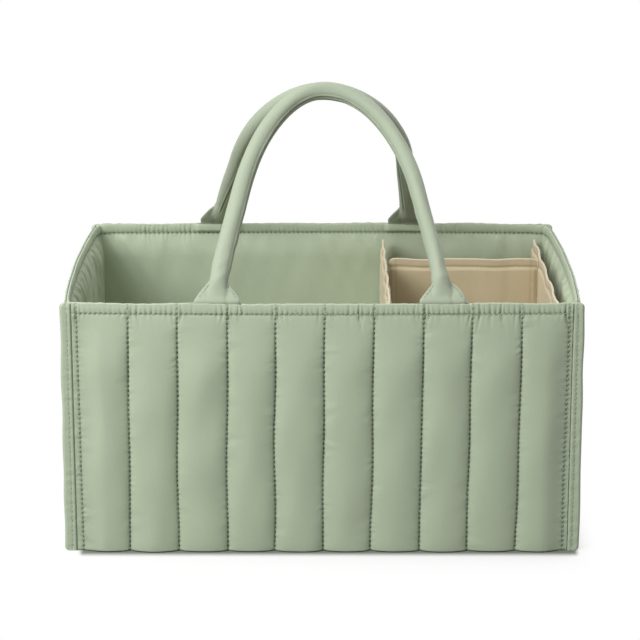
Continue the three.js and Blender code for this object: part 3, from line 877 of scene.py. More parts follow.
def make_hem(wall):
    """The outer half of the hem, from its stitches up over the rim's edge."""
    columns = np.linspace(-wall.half, wall.half, round(2 * wall.half / HEM_STEP) + 1)
    rise = np.linspace(0, 1, 17)
    angles = np.radians(np.linspace(0, 180, 13))[1:]
    section = np.concatenate([
        np.stack([HEM_PUFF * np.sin(math.pi * rise), HEM_FOOT + rise * (HEM - FOLD)], axis=-1),
        np.stack([FOLD * (np.cos(angles) - 1), RIM - FOLD + FOLD * np.sin(angles)], axis=-1),
        HEM_TURN + (0, RIM),
    ])
    section_out, section_z = section[:, :1], section[:, 1:]
    outer = len(rise) + len(angles) // 2
    lively = np.zeros_like(section_out)
    lively[: len(rise), 0] = smooth(rise, 0, 0.1) * (1 - 0.5 * rise)
    lively[len(rise):outer, 0] = 0.5
    away = np.clip(section_z - HEM_FOOT, 0, None)
    gather = gathers(wall, columns, 0.5 * away)
    out = section_out + GATHER * gather * lively
    # Painted shade in the valleys of the gathers
    crease = 1.1 * np.clip(-gather - 0.1, 0, 1) * lively

    # The shape of each sewn-in tab shows through the hem
    flare = TAB_FLARE * (RIM - section_z) / HEM
    for tab in tab_places(wall):
        inset = TAB_HALF + flare - np.abs(columns - tab)
        out = out + TAB_SWELL * lively * smooth(inset, -0.8 * MM, 0.5 * MM)
        out = out - TAB_GROOVE * lively * bump_at(inset + 0.5 * MM, 0.6 * MM)
        # Painted shade in the groove round each tab
        crease = crease + 0.3 * lively * bump_at(inset + 0.3 * MM, 0.6 * MM)

    # The quilting's seams run on through the hem
    hole = hem_marks(wall, columns) * bump_at(section_z - HEM_FOOT, NEEDLE)
    beat = bump_at(from_beat(away, STITCH), 0.65 * MM)
    tops = seam_tops(wall)
    for top in tops:
        groove = bump_at(columns - top, NEEDLE) * (away > 0.6 * MM)
        out = out - SEAM_GROOVE * groove * lively
        # Painted shade in the seam's groove
        crease = crease + 0.1 * groove
        hole = np.maximum(hole, 0.55 * groove * beat)
    hole = hole * (np.arange(len(section))[:, None] < outer)
    # Painted shade along the rim's fold
    edge = np.zeros_like(section_out)
    edge[outer:-1, 0] = 1
    z = section_z + rim_line(wall, columns) * smooth(section_z, HEM_FOOT, RIM)
    points = wall.place(np.broadcast_to(columns, out.shape), out - 0.4 * MM * hole, z)
    marks = {"crease": crease + 0.6 * edge, "hole": hole}
    piece = skin(f"{wall.name}_hem", points, columns, running_length(points), marks)
    settle(piece, SAGE_CLOTH, "caddy_body", [f"{wall.name}_outer_panel"])

    span = wall.half - SEAM_MARGIN
    line = np.linspace(-span, span, 400)
    line = wall.place(line, 0.5 * MM, np.full_like(line, HEM_FOOT))
    up = HEM_FOOT + np.array([0.1, 1, 1.85]) * STITCH
    runs = [(along_line(line, STITCH), wall.outwards())]
    runs += [(wall.place(top, 0.45 * MM, up), wall.outwards()) for top in tops]
    stitches(f"{wall.name}_hem_thread", runs, SAGE_YARN, "caddy_body")


def tab_places(wall):
    """Where the handle tabs are sewn into a wall's hem."""
    handle = HANDLES.get(wall.name)
    if not handle:
        return []
    half = FOOT_SPACING / 2
    return [handle["offset"] - half + handle["inset"], handle["offset"] + half]


def make_stiffener(wall):
    """The foam board in a wall, squeezed thin towards the hem."""
    low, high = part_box(f"{wall.name}_stiffener")
    half = half_length(wall, "stiffener")
    columns = np.linspace(-half, half, 60)
    back, face = PANEL + 0.3 * MM, HEM_DEPTH
    section = np.array([
        (back, low.z), (back, RIM / 2), (back, high.z - 10 * MM), (back, high.z - 8.2 * MM),
        (face - 1.1 * MM, high.z - 8.2 * MM), (face - 0.1 * MM, high.z - 11.7 * MM),
        (face, high.z - 14 * MM), (face, RIM / 2), (face, low.z),
    ])
    flat = np.zeros((len(section), len(columns)))
    points = wall.place(columns + flat, -section[:, :1] + flat, section[:, 1:] + flat)
    piece = skin(f"{wall.name}_stiffener_sheet", points, columns, running_length(points), {})
    settle(piece, FOAM, "caddy_body", [f"{wall.name}_stiffener"])


def lining_relief(wall, rng, x, z, half):
    """The soft folds of a lining: they hang slanting from the hem's stitches, strongest on
    the short walls, and lie flat under the tapes."""
    below = HEM_FOOT - z
    fade = smooth(half - np.abs(x), 0, 14 * MM) * smooth(z - LINING_FOOT, 0, 12 * MM)
    hanging = ripple(rng, x + 0.55 * below, 16 * MM) * np.exp(-below / (34 * MM))
    crossing = ripple(rng, x - 0.3 * below, 24 * MM) * np.exp(-below / (50 * MM))
    broad = swell(rng, x, z, 80 * MM, 90 * MM)
    relief = (LINING_FOLDS[wall.name] * (0.75 * hanging + 0.45 * crossing) + 0.3 * broad) * fade
    relief = relief * smooth(below, 0, 5 * MM)
    gather = gathers(wall, x, 1.3 * np.clip(below, 0, None))
    relief = relief + 0.7 * gather * smooth(below, 0, 1 * MM)
    if wall.name in TAPE_WALLS:
        axis, hand = TAPE_WALLS[wall.name]
        low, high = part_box(f"{wall.name}_loop_tape")
        beside = np.abs(x - hand * (low[axis] + high[axis]) / 2) - TAPE_HALF
        flat = smooth(-beside, -8 * MM, -1 * MM) * smooth(high.z + 8 * MM - z, 0, 7 * MM)
        relief = relief * (1 - flat)
    over = relief - LINING_LOWEST
    return (LINING_LOWEST + 0.5 * (over + np.sqrt(over**2 + 0.02))) * MM


def make_lining(wall):
    """The lining inside a wall, sewn into the hem and folded over its inner side."""
    rng = np.random.default_rng(wall.seed + LINING_SEED)
    half = half_length(wall, "lining")
    columns = np.linspace(-half, half, round(2 * half / LINING_STEP) + 1)
    heights = np.concatenate([
        np.arange(LINING_FOOT, HEM_FOOT - 22 * MM, 2.2 * MM),
        np.arange(HEM_FOOT - 21 * MM, HEM_FOOT - 3 * MM, 1.2 * MM),
        np.linspace(HEM_FOOT - 2.5 * MM, HEM_FOOT, 6),
    ])
    x, z = columns[None, :], heights[:, None]
    corner = bulk(wall, x)
    seam_depth = SEAM_THICKNESS + 2 * MM * corner
    swelling = np.sin(math.pi / 2 * np.clip((HEM_FOOT - z) / PINCH_INSIDE, 0, 1)) ** 0.8
    depth = between(seam_depth, LINING_FACE, swelling)
    face_out = -depth - lining_relief(wall, rng, x, z, half)

    # The inner side of the hem, up over the rim's edge
    inside = between(RIM_INSIDE, OVER_TAB, over_tabs(wall, x))
    radius = (0.7 + 0.9 * corner) * MM
    rise = np.linspace(0.06, 1, 10)[:, None]
    gather = gathers(wall, x, 0.6 * HEM * rise)
    lively = smooth(rise, 0, 0.15) * (1 - 0.4 * rise)
    band = between(seam_depth, inside + 2 * radius, smooth(rise, 0, 0.4))
    puff = BAND_PUFF * np.sin(math.pi * rise) ** 0.6
    band_out = -band - (puff + BAND_GATHER * gather * lively)
    band_z = HEM_FOOT + rise * (HEM - radius)
    angles = np.radians(np.linspace(0, 180, 11))[1:, None]
    turn_out = -inside - radius - radius * np.cos(angles)
    turn_z = RIM - radius + radius * np.sin(angles)

    # Down between the hem's layers, and on behind the lining
    back_z = [RIM - 4 * MM, HEM_FOOT + 0.8 * MM, HEM_FOOT - 8 * MM, HEM_FOOT - 16 * MM]
    back_z = np.array([*back_z, RIM / 2, LINING_FOOT])[:, None] + 0 * x
    back_depth = [0, 1.6 * MM, 3.2 * MM, LINING_BACK, LINING_BACK, LINING_BACK]
    back_out = -np.array(back_depth)[:, None] + 0 * x
    back_out[0] = -inside[0]

    all_out = np.concatenate([face_out, band_out, turn_out, back_out])
    all_z = np.concatenate([z + 0 * face_out, band_z, turn_z, back_z])
    all_z = all_z + rim_line(wall, columns) * smooth(all_z, HEM_FOOT, RIM)
    longer = 1 + (CORNER_OVERLAP / half) * smooth(all_z, RIM * 0.7, HEM_FOOT)
    points = wall.place(x * longer, all_out, all_z)
    shown = np.arange(len(all_out))[:, None] < len(face_out) + len(band_out)
    # Painted shade along the hem's stitches and in the valleys of the gathers
    from_hem = all_z - HEM_FOOT
    at_hem = bump_at(from_hem, 0.8 * MM) * shown
    valley = np.clip(-gathers(wall, x, 1.3 * np.abs(from_hem)) - 0.2, 0, 1) * shown
    marks = {"crease": 0.25 * at_hem + 0.45 * valley, "hole": hem_marks(wall, x) * at_hem}
    piece = skin(f"{wall.name}_lining_cloth", points, x, running_length(points), marks)
    settle(piece, LINING_CLOTH, "caddy_body", [f"{wall.name}_lining"])
    2 * half
    sewn = -(seam_depth[0] + 0.3 * MM)
    line = wall.place(columns, sewn, np.full_like(columns, HEM_FOOT))
    runs = [(along_line(line, STITCH), -wall.outwards())]
    stitches(f"{wall.name}_lining_thread", runs, SAGE_YARN, "caddy_body")


def make_corner_strip(end, side_x, face, side_y):
    """The folded strip that binds an upright corner seam, topstitched beside its inner
    edge. Returns its line of needle holes and their way out of the cloth."""
    node = f"{face}_{end}_corner_strip"
    low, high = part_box(node)
    rng = np.random.default_rng(STRIP_SEED + 3 * side_x + side_y)
    inner, foot = sorted((abs(low.x), abs(high.x)))
    back, front = sorted((abs(low.y), abs(high.y)))
    radius = (front - back) / 2
    angles = np.linspace(0, math.pi / 2, 9)
    low_z = STRIP_TOE - STRIP_TOE * np.cos(angles) * 0.97
    high_z = high.z - STRIP_CORNER + STRIP_CORNER * np.sin(angles) * 0.97
    straight = np.linspace(STRIP_TOE, high.z - STRIP_CORNER, STITCHES_UP * STITCH_ROWS)
    z = np.concatenate([low_z[:-1], straight, high_z[1:]])
    drawn = np.zeros_like(z)
    drawn[: len(angles)] = STRIP_TOE * (1 - np.sin(angles)) ** 1.2
    drawn[-len(angles):] = STRIP_CORNER * (1 - np.cos(angles)) ** 1.2
    sink = np.zeros_like(z)
    sink[-len(angles):] = STRIP_SINK * (1 - np.cos(angles))
    outer = foot - STRIP_LEAN * z / high.z + 0.3 * MM * ripple(rng, z, 50 * MM) - drawn
    waves = ripple(rng, z, 8 * MM)

    # Its face from the inner edge, the round fold at the outer one, and its back
    share = np.linspace(0, 1, 26)[:, None]
    curve = np.linspace(math.pi / 2, -math.pi / 2, 11)[1:-1, None]
    width = outer - radius - inner
    across = width * share
    groove = bump_at(across - STRIP_SEAM, NEEDLE)
    edge = bump_at(across, 0.6 * MM)
    puff = STRIP_PUFF * np.sin(math.pi * np.clip(across / STRIP_SEAM, 0, 1)) ** 0.6
    puff = puff + STRIP_SWELL * smooth(across, STRIP_SEAM, STRIP_SEAM + 4 * MM)
    face_y = front - 0.4 * MM + puff + 0.1 * MM * waves * (1 - edge)
    face_y = face_y - STRIP_EDGE * edge - 0.12 * MM * groove - sink
    fold_x = outer - radius + radius * np.cos(curve)
    fold_y = front - radius + (radius - sink) * np.sin(curve)
    back_x = inner + width * share[::-6]
    all_x = np.concatenate([inner + across, fold_x, back_x])
    all_y = np.concatenate([face_y, fold_y, back + 0 * back_x])
    points = np.stack(np.broadcast_arrays(side_x * all_x, side_y * all_y, z), axis=-1)
    # Painted shade along the strip's inner edge, its stitched groove and its outer fold
    on_fold = 0.3 * bump_at(curve, 0.5) + 0 * fold_x
    holes = 0.55 * groove * np.clip(np.cos(2 * math.pi * z / STITCH), 0, 1) ** 4
    marks = {
        "crease": np.concatenate([0.05 * groove + 0.5 * edge, on_fold, 0 * back_x]),
        "hole": np.concatenate([holes, 0 * fold_x, 0 * back_x]),
    }
    run = running_length(points)
    piece = skin(f"{node}_binding", points, run, z[None, :], marks)
    settle(piece, SAGE_CLOTH, "caddy_body", [node])

    line_z = np.arange(STITCH, high.z - STRIP_CORNER, STITCH)
    line = [side_x * (inner + STRIP_SEAM), side_y * (front - 0.35 * MM), line_z]
    return np.stack(np.broadcast_arrays(*line), axis=-1), np.array([0.0, side_y, 0.0])


def bezier(points, steps):
    """Places on one cubic curve, without its last end."""
    t = (np.arange(steps) / steps)[:, None]
    a, b, c, d = (np.array(p, float) for p in points)
    return (1 - t) ** 3 * a + 3 * (1 - t) ** 2 * t * b + 3 * (1 - t) * t**2 * c + t**3 * d


def handle_line(name):
    """The centre line of a handle in its plane, from one tab over the arch to the other."""
    handle = HANDLES[name]
    halves = []
    for side in (-1, 1):
        inset = handle["inset"] if side < 0 else 0
        foot = side * (FOOT_SPACING / 2 - inset)
        knee = side * KNEE_SPACING / 2 - KNEE_SHIFT + (handle["knee_in"] if side < 0 else 0)
        pulled = between(foot, knee, KNEE_PULL)
        slope = (pulled - knee) / (KNEE_HEIGHT * (1 - KNEE_START))
        rise = (ARCH_HEIGHT - KNEE_HEIGHT) * CROWN_PULL
        leg = [
            (foot, 0),
            (foot, KNEE_HEIGHT * LEG_UPRIGHT),
            (pulled, KNEE_HEIGHT * KNEE_START),
            (knee, KNEE_HEIGHT),
        ]
        crown = [
            (knee, KNEE_HEIGHT),
            (knee - slope * rise, KNEE_HEIGHT + rise),
            ((knee - ARCH_SHIFT) / 2, ARCH_HEIGHT),
            (-ARCH_SHIFT, ARCH_HEIGHT),
        ]
        halves.append((leg, crown))
    (left_leg, left_crown), (right_leg, right_crown) = halves
    parts = [left_leg, left_crown, right_crown[::-1], right_leg[::-1]]
    line = np.concatenate([bezier(part, 80) for part in parts] + [[parts[-1][-1]]])
    return line + np.array([handle["offset"], 0])


def tab_flare(from_end, tab):
    """How far the sleeve is spread into its tab: sloping shoulders down to the rim."""
    low, high, power = tab
    straight = 1 - np.clip((from_end - low) / (high - low), 0, 2) ** power
    return 0.5 * (straight + np.sqrt(straight**2 + 0.003))


def handle_section(from_end, angle, flare):
    """The section of a sleeve at a distance from its nearest end: how far across each place
    round it lies, and how thick it is there. The tube grows out of a flat tab."""
    half = between(TUBE, TAB_HALF, flare)
    across = half * np.cos(angle)
    flat = TAB_FLAT * (1 - np.abs(np.cos(angle)) ** 7) ** 0.5
    grown = TUBE * (0.16 + 0.84 * smooth(from_end, 0, TUBE_GROWTH))
    waist = TUBE * (1 + 0.3 * flare)
    tube = grown * np.sqrt(np.clip(1 - (across / waist) ** 2, 0, 1))
    return across, (flat**4 + tube**4) ** 0.25


def leaning_plane(wall):
    """The function that takes places from a handle's plane to the frame. The sleeve leaves
    the hem upright and bends over to the lean of the handle."""
    lean = math.asin((-HINGE_Y - HANDLES[wall.name]["reach"]) / ARCH_HEIGHT)
    steps = np.linspace(-SEWN_IN, ARCH_HEIGHT + 2 * TUBE, 4000)
    tilt = lean * smooth(steps, -1.3 * BEND, 0.5 * BEND)
    y = np.cumsum(np.sin(tilt)) * (steps[1] - steps[0])
    z = np.cumsum(np.cos(tilt)) * (steps[1] - steps[0])
    straight = steps > 2 * BEND
    y += np.mean(steps[straight] * math.sin(lean) - y[straight])
    z += np.mean(steps[straight] * math.cos(lean) - z[straight])

    def to_frame(x, h, out):
        here = np.interp(h, steps, tilt)
        frame_y = HINGE_Y + (np.interp(h, steps, y) - out * np.cos(here))
        frame_z = HINGE_Z + (np.interp(h, steps, z) + out * np.sin(here))
        return wall.turned(x, frame_y, frame_z)

    return to_frame


def beside_line(line, along, across):
    """Places in a handle's plane, at distances along its line and off to one side of it.
    The line goes straight on beyond its ends."""
    length = lengths_along(line)
    whole = length[-1]
    inside = np.clip(along, 0, whole)
    x = np.interp(inside, length, line[:, 0])
    h = np.interp(inside, length, line[:, 1]) + np.minimum(along, 0) + np.minimum(whole - along, 0)
    way = np.stack([np.gradient(x, along), np.gradient(h, along)], axis=-1)
    way /= np.linalg.norm(way, axis=1)[:, None]
    return x + across * way[:, 1], h - across * way[:, 0]


def make_handle(wall):
    """One rolled handle: a sleeve over a cord of three twisted strands."""
    name = wall.name
    line = handle_line(name)
    whole = lengths_along(line)[-1]
    to_frame = leaning_plane(wall)
    make_sleeve(wall, line, whole, to_frame)
    make_tab_stitches(name, line, to_frame)
    along = np.linspace(CORD_START, whole - CORD_START, 260)
    around = np.linspace(0, 2 * math.pi, 18, endpoint=False)[:, None]
    radius = CORD_RADIUS + CORD_STRAND * np.abs(np.cos(1.5 * (around - along / CORD_TWIST)))
    places = beside_line(line, along, radius * np.cos(around))
    points = to_frame(*places, radius * np.sin(around))
    core = skin(f"{name}_handle_cord", points, running_length(points), along[None, :], {})
    settle(core, CORE_CORD, f"{name}_handle", [f"{name}_handle_core"])


def make_sleeve(wall, line, whole, to_frame):
    """The sleeve of a handle, closed by a seam along its inner side, with a flat tab at
    each end that is sewn into the hem."""
    name = wall.name
    handle = HANDLES[name]
    rng = np.random.default_rng(wall.seed + HANDLE_SEED)
    sewn = np.linspace(-SEWN_IN, 4 * MM, 18)
    tab = np.concatenate([sewn, np.arange(4.7 * MM, 32 * MM, 0.7 * MM)])
    middle = np.linspace(32.5 * MM, whole - 32.5 * MM, 260)
    along = np.concatenate([tab, middle, whole - tab[::-1]])
    from_end = np.minimum(along, whole - along)
    reached = np.clip(from_end, 0, None)
    angle = np.linspace(0, 2 * math.pi, RING, endpoint=False)[:, None]
    left_tab, right_tab = handle["tabs"]
    inner, outer = (
        np.where(along < whole / 2, tab_flare(reached, left), tab_flare(reached, right))
        for left, right in zip(left_tab, right_tab)
    )
    flare = np.where(np.cos(angle) > 0, inner, outer)
    across, thick = handle_section(reached, angle, flare)
    tube_share = smooth(from_end, 16 * MM, 30 * MM)
    side = np.clip((along - whole / 2) / (whole / 2), -1, 1) * tube_share
    across = across * (1 + np.where(side < 0, -0.04 * side, -0.17 * np.sin(2 * side)))

    # Soft folds: long ones on the tube, more and deeper ones above each tab
    near_tab = np.exp(-np.clip(from_end - 8 * MM, 0, None) / (20 * MM))
    folds = swell(rng, angle * TUBE + 0 * along, along + 0 * angle, 10 * MM, 70 * MM)
    kinks = swell(rng, angle * TUBE + 0.6 * along, along + 0 * angle, 12 * MM, 26 * MM)
    relief = (0.14 * folds + 0.28 * kinks * near_tab) * MM
    relief = relief * smooth(from_end, -2 * MM, 8 * MM)

    # The closing seam: two ridges with a groove between them, on the inner side
    seam_angle = np.radians(np.interp(along / whole, CLOSING_SPOTS, handle["seam"]))
    turn = (angle - seam_angle + math.pi) % (2 * math.pi) - math.pi
    beside = np.abs(turn) * TUBE
    ridges = bump_at(beside - 1.3 * MM, NEEDLE)
    groove = bump_at(beside, 0.45 * MM)
    lips = bump_at(beside - 2.9 * MM, 0.4 * MM)
    wander = 1 + 0.25 * ripple(rng, along, 18 * MM)
    relief = relief + (0.4 * ridges * wander - 0.5 * groove - 0.15 * lips) * MM * tube_share
    # Painted shade in the closing seam's groove and beside its lips
    crease = (groove + 0.25 * lips) * tube_share + 0 * angle

    # The stitched border of the tab, and the creases beside the foot of the tube
    inset = between(TUBE, TAB_HALF, flare) - np.abs(across)
    on_tab = smooth(from_end, 1 * MM, 3 * MM) * (1 - smooth(from_end, 11 * MM, 14 * MM))
    border = bump_at(inset - TAB_BORDER, 0.5 * MM) * on_tab
    hand = across * np.sign(whole / 2 - along)
    uneven = 0.6 + 0.4 * ripple(rng, along, 9 * MM)
    right_fold = bump_at(hand - TUBE * 0.95, 1 * MM) * (1 - smooth(from_end, 12 * MM, 22 * MM))
    left_fold = 0.35 * bump_at(hand + TUBE * 1.2, 1.2 * MM) * on_tab
    foot_fold = right_fold + left_fold
    relief = relief - (0.1 * border + 0.55 * foot_fold * uneven) * MM
    # Painted shade along the tab's border, in the folds at the foot of the tube and where the tab
    # goes into the hem
    crease = crease + 0.08 * border + 0.3 * foot_fold + 0.4 * bump_at(from_end + 1.9 * MM, NEEDLE)
    hole = 0.75 * border * bump_at(from_beat(from_end, TAB_STITCH), NEEDLE)
    depth = np.sign(np.sin(angle)) * (thick + relief * np.abs(np.sin(angle)))
    across = across * (1 + relief / TUBE * np.abs(np.cos(angle)) * tube_share)

    points = to_frame(*beside_line(line, along, across), depth)
    marks = {"crease": crease, "hole": hole}
    piece = skin(f"{name}_handle_sleeve", points, running_length(points), along[None, :], marks)
    clothe(piece, SHADED_HANDLE_CLOTH)
    anchors = [f"{name}_{end}_handle_anchor" for end in ("left", "right")]
    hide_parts(f"{name}_handle_cover", *anchors)
    start = to_frame(0.0, -BEND, 0.0)
    end = to_frame(0.0, 1.4 * BEND, 0.0)
    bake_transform(piece)


def make_tab_stitches(name, line, to_frame):
    """The border stitches on both faces of both tabs of a handle."""
    left_tab, right_tab = HANDLES[name]["tabs"]
    h = np.linspace(1.8 * BEND, BORDER_TOP, 40)
    runs = []
    for foot, sides in ((line[0, 0], left_tab), (line[-1, 0], right_tab[::-1])):
        for hand, tab in zip((1, -1), sides):
            flare = tab_flare(h, tab)
            half = between(TUBE, TAB_HALF, flare)
            angle = np.arccos((half - TAB_BORDER) / half)
            lift = handle_section(h, angle, flare)[1] - 0.15 * MM
            for face in (-1, 1):
                places = to_frame(foot + hand * (half - TAB_BORDER), h, face * lift)
                out = to_frame(0.0, 10 * MM, face * MM) - to_frame(0.0, 10 * MM, 0.0)
                runs.append((along_line(places, TAB_STITCH), out))
    stitches(f"{name}_handle_thread", runs, SAGE_YARN, f"{name}_handle")


def make_divider(name):
    """A divider panel: a foam board in a khaki sleeve, whose top is a thin wavy hem."""
    node = f"{name}_divider_cover"
    low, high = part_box(node)
    middle = (low + high) / 2
    size = high - low
    runs_x = size.x > size.y
    length, half = max(size.x, size.y), min(size.x, size.y) / 2
    rng = np.random.default_rng(len(name))
    turn = DIVIDER_CORNER * (1 - np.cos(np.radians(np.arange(0, 90, 15))))
    straight = length / 2 - DIVIDER_CORNER
    straight = np.linspace(-straight, straight, round(2 * straight / DIVIDER_STEP))
    columns = np.concatenate([turn - length / 2, straight, (length / 2 - turn)[::-1]])
    from_end = length / 2 - np.abs(columns)
    waves = np.tanh(ripple(rng, columns, 42 * MM) + 0.25 * ripple(rng, columns, 17 * MM))
    waves = DIVIDER_WAVES[name] * waves * smooth(from_end, 0, 30 * MM)

    def placed(across, z):
        """Places from how far they are off the panel's middle, with its wave."""
        off = across + waves * ((z - low.z) / size.z) ** 2
        along = np.broadcast_to(columns, off.shape)
        if runs_x:
            return np.stack([middle.x + along, middle.y + off, z], axis=-1)
        return np.stack([middle.x - off, middle.y + along, z], axis=-1)

    # One face of the sleeve, from its foot to its hem
    top = high.z - DIVIDER_HEM
    heights = np.concatenate([
        np.arange(low.z, top - 6 * MM, 2.5 * MM),
        np.linspace(top - 5 * MM, high.z - DIVIDER_EDGE, 18),
    ])
    x, z = columns[None, :], heights[:, None]
    edge = smooth(from_end, 0, 3 * MM)
    from_side_seam = from_end - DIVIDER_SIDE_SEAM
    stitched = bump_at(z - top, NEEDLE)
    upright = bump_at(from_side_seam, NEEDLE)
    soft = 0.3 * swell(rng, x, z, 50 * MM, 70 * MM)
    gather = ripple(rng, x, 5 * MM) * np.exp(-np.abs(z - top) / (4 * MM))
    side_gather = ripple(rng, z, 6 * MM) * np.exp(-np.abs(from_side_seam) / (4 * MM))
    relief = np.clip(soft + 0.2 * gather + 0.15 * side_gather, -0.4, 0.4) - 0.3 * upright
    board_share = 1 - smooth(z, top - 3.5 * MM, top - 0.5 * MM)
    full = between(DIVIDER_EDGE, half - 0.5 * MM, board_share)
    thick = full * (0.5 + 0.5 * edge) + (relief * board_share - 0.25 * stitched) * MM * edge

    # Up one face, round the top edge and down the other one, with rounded top corners
    curve = np.linspace(0, math.pi, 9)[1:-1, None]
    round_across = DIVIDER_EDGE * np.cos(curve) * (0.6 + 0.4 * edge)
    round_z = high.z - DIVIDER_EDGE + DIVIDER_EDGE * np.sin(curve) + 0 * x
    uneven = 0.3 * MM * ripple(rng, columns, 38 * MM) * edge
    section_z = np.concatenate([z + 0 * thick, round_z, (z + 0 * thick)[::-1]])
    section_z = section_z + uneven * smooth(section_z, top - 20 * MM, high.z)
    to_corner = DIVIDER_CORNER - np.clip(from_end, 0, DIVIDER_CORNER)
    drop = DIVIDER_CORNER - np.sqrt(DIVIDER_CORNER**2 - to_corner**2)
    section_z = section_z - drop * np.clip((section_z - top) / DIVIDER_HEM, 0, 1)
    across = np.concatenate([thick, round_across, -thick[::-1]])
    points = placed(across, section_z)
    # Painted shade along the hem's stitches and the side seams
    crease = 0.5 * stitched + 0.4 * upright + 0 * thick
    marks = {
        "crease": np.concatenate([crease, 0 * round_z, crease[::-1]]),
        # Wear and a painted highlight make the rounded top edge paler
        "wear_and_highlight": np.concatenate([0 * thick, 0 * round_z + 0.7, 0 * thick]),
    }
    piece = skin(f"{name}_divider_sleeve", points, x, running_length(points), marks)
    settle(piece, KHAKI_CLOTH, "divider_insert", [node])

    board_low, board_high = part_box(f"{name}_divider_board")
    board = board_high - board_low
    thin = min(board.x, board.y) / 2
    board_z = np.array([board_low.z, middle.z, top - 20 * MM, top - 3.6 * MM])
    board_z = np.concatenate([board_z, board_z[::-1]])[:, None] + 0 * x
    board_points = placed(np.repeat([thin, -thin], 4)[:, None] + 0 * x, board_z)
    axis, centre = (0, middle.x) if runs_x else (1, middle.y)
    shorter = max(board.x, board.y) / length
    board_points[..., axis] = centre + (board_points[..., axis] - centre) * shorter
    sheet = f"{name}_divider_sheet"
    piece = skin(sheet, board_points, x, running_length(board_points), {})
    settle(piece, FOAM, "divider_insert", [f"{name}_divider_board"])

    row = int(np.argmin(np.abs(heights - top)))
    runs = []
    for index, hand in ((row, 1), (len(across) - 1 - row, -1)):
        way = np.array([0.0, hand, 0.0]) if runs_x else np.array([-hand, 0.0, 0.0])
        runs.append((along_line(points[index, 4:-4], STITCH), way))
    stitches(f"{name}_divider_thread", runs, KHAKI_YARN, "divider_insert")


def make_tape(side, kind):
    """A strip of hook or loop tape with soft edges, sewn round its border."""
    node = f"{side}_{kind}_tape"
    bpy.ops.object.select_all(action="DESELECT")
    piece = add_object(f"{node}_strip", frame["nodes"][node].data.copy())
    bpy.context.view_layer.objects.active = piece
    piece.select_set(True)
    bpy.ops.object.mode_set(mode="EDIT")
    bpy.ops.mesh.select_all(action="SELECT")
    bpy.ops.mesh.remove_doubles(threshold=MERGE)
    bpy.ops.mesh.bevel(offset=TAPE_BEVEL, segments=2)
    bpy.ops.object.mode_set(mode="OBJECT")
    bpy.ops.object.shade_smooth_by_angle(angle=SMOOTH_ANGLE)
    body = "caddy_body" if kind == "loop" else "divider_insert"
    settle(piece, TAPE, body, [node])


def make_base():
    """The cloth under the base and the lining on the floor inside."""
    for node, slot, material, up in (
        ("base_outer_panel", "quilted_fabric", SAGE_CLOTH, -1),
        ("base_lining", "lining_fabric", LINING_CLOTH, 1),
    ):
        low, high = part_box(node)
        rng = np.random.default_rng(BASE_SEED + up)
        x = np.linspace(low.x, high.x, 150)[None, :]
        y = np.linspace(low.y, high.y, 100)[:, None]
        rim = np.minimum(high.x - np.abs(x), high.y - np.abs(y))
        soft = swell(rng, x, y, 90 * MM, 70 * MM) * smooth(rim, 0, 10 * MM)
        seam = bump_at(rim - BASE_SEAM, 1.2 * MM)
        relief = (0.35 * soft - 0.3 * seam) * MM
        soft_edge = BASE_EDGE * (1 - smooth(rim, 0, 1.5 * MM))
        if up > 0:
            top = high.z - 0.4 * MM + relief
            under = low.z + 0 * relief
        else:
            top = high.z + 0 * relief
            under = low.z + BASE_DEPTH - np.clip(relief, -BASE_DEPTH, BASE_DEPTH)
        z = np.concatenate([top - soft_edge, (under + soft_edge)[::-1]])
        points = np.stack(np.broadcast_arrays(x, np.concatenate([y, y[::-1]]), z), axis=-1)
        # Painted shade along the seam round the base
        crease = np.concatenate([seam, seam[::-1]]) * 0.4
        piece = skin(f"{node}_cloth", points, x, running_length(points), {"crease": crease})
        settle(piece, material, "caddy_body", [node])


for wall in WALLS:
    make_quilted_wall(wall)
    make_hem(wall)
    make_stiffener(wall)
    make_lining(wall)
strip_runs = [
    make_corner_strip(end, side_x, face, side_y)
    for end, side_x in (("left", -1), ("right", 1))
    for face, side_y in (("front", -1), ("back", 1))
]
stitches("corner_strip_thread", strip_runs, SAGE_YARN, "caddy_body")
make_base()
for wall in WALLS:
    if wall.name in HANDLES:
        make_handle(wall)
for name in ("cross", "middle", "side"):
    make_divider(name)
for side in TAPE_WALLS:
    for kind in ("loop", "hook"):
        make_tape(side, kind)
clothe(frame["nodes"]["base_stiffener"], FOAM)


# The studio

HORIZON = 12.0
SHADOW_BESIDE = 0.03
SHADOW_BEFORE = 0.09
# The band of painted contact shadow round the caddy's foot
CONTACT_START = 8 * MM
CONTACT_BESIDE = 5 * MM
CONTACT_BEFORE = 11 * MM
CONTACT_SHIFT = 5 * MM
WHITE = (1, 1, 1, 1)
FLOOR_PLAIN = (0.36, 0.36, 0.35, 1)
FLOOR_SHADOW = (0.83, 0.83, 0.83, 1)
FLOOR_PAINTED_SHADOW = (0.2, 0.215, 0.19, 1)
ROOM_LIGHT = (0.97, 0.985, 1.0, 1)
ROOM_STRENGTH = 0.36
WARM_LIGHT = (1.0, 0.995, 0.985)
CENTRE = Vector((0, 0, 0.15))
LAMPS = (
    ("window_left", (-0.95, -0.85, 1.05), 0.8, 23, WARM_LIGHT),
    ("sky_panel", (-0.4, 0.2, 2.2), 1.8, 20, (1, 1, 1)),
    ("fill_right", (2.0, -1.8, 1.0), 1.8, 4, (0.98, 0.99, 1.0)),
    ("fill_back", (1.5, 1.7, 1.3), 1.6, 15, WARM_LIGHT),
)
CAMERA_PLACE = (-0.00159, -1.81086, 0.63833)
CAMERA_TILT = 74.69
CAMERA_LENS = 135.675
CAMERA_SENSOR = 36


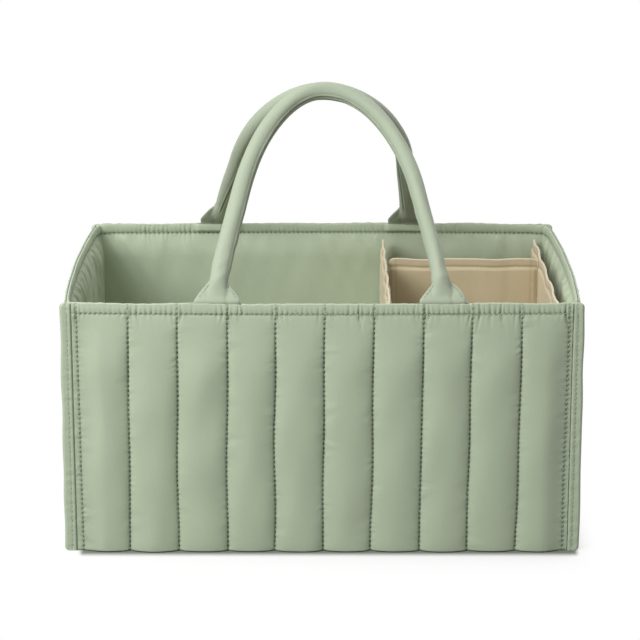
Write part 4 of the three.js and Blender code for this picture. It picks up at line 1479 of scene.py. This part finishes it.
def make_floor():
    """A white floor that keeps the caddy's shadow: it takes all of its light from the lamps
    at the caddy's foot, and shines by itself away from it. A narrow band beside the foot is
    darkened by a painted contact shadow, where the caddy hides the light of the room."""
    bpy.ops.object.select_all(action="DESELECT")
    bpy.ops.mesh.primitive_plane_add(size=2 * HORIZON, location=(0, 0, 0))
    floor = bpy.context.object
    floor.name = "studio_floor"
    shader = Shader(bpy.data.materials.new("studio_floor"))
    x, y, _ = shader.parts(shader.place())
    beside = x.beyond(FRONT_HALF) * (1 / SHADOW_BESIDE)
    before = y.beyond(END_HALF) * (1 / SHADOW_BEFORE)
    away = (beside * beside + before * before).power(0.5)
    glowing = 1 - (1 - away).clamped().power(3)
    # A painted contact shadow: a dark diffuse in a band just outside the foot
    close_beside = (x - CONTACT_SHIFT).beyond(FRONT_HALF) * (1 / CONTACT_BESIDE)
    close_before = y.beyond(END_HALF + CONTACT_START) * (1 / CONTACT_BEFORE)
    close = 1 - (close_beside * close_beside + close_before * close_before).power(0.5)
    close = close.clamped()
    painted_contact_shadow = close * close * (3 - 2 * close)
    glow = shader.node("ShaderNodeEmission", {}, {"Color": WHITE, "Strength": 1.0})
    lit = shader.mix(glowing, shader.diffuse(FLOOR_SHADOW), glow)
    pictured = shader.mix(painted_contact_shadow, lit, shader.diffuse(FLOOR_PAINTED_SHADOW))
    shader.output(shader.mix(shader.seen(), shader.diffuse(FLOOR_PLAIN), pictured))
    clothe(floor, shader.owner)


def make_world():
    """Even soft light all round, which is white where the camera sees it."""
    world = bpy.data.worlds.new("studio_world")
    bpy.context.scene.world = world
    shader = Shader(world)
    soft, white = (
        shader.node("ShaderNodeBackground", {}, {"Color": colour, "Strength": strength})
        for colour, strength in ((ROOM_LIGHT, ROOM_STRENGTH), (WHITE, 1.0))
    )
    shader.output(shader.mix(shader.seen(), soft, white), "ShaderNodeOutputWorld")


def make_lamp(name, place, size, power, colour):
    """A square soft lamp that looks at the caddy."""
    lamp = bpy.data.lights.new(name, "AREA")
    lamp.shape = "SQUARE"
    lamp.size = size
    lamp.energy = power
    lamp.color = colour
    piece = add_object(name, lamp)
    piece.location = place
    way = CENTRE - Vector(place)
    piece.rotation_euler = way.to_track_quat("-Z", "Y").to_euler()


def make_camera():
    """The photo's own camera."""
    camera_data = bpy.data.cameras.new("camera")
    camera_data.sensor_width = CAMERA_SENSOR
    camera_data.lens = CAMERA_LENS
    camera = add_object("camera", camera_data)
    camera.location = CAMERA_PLACE
    camera.rotation_euler = (math.radians(CAMERA_TILT), 0, 0)
    bpy.context.scene.camera = camera


make_floor()
make_world()
for lamp in LAMPS:
    make_lamp(*lamp)
make_camera()
bpy.context.scene.view_settings.view_transform = "Standard"
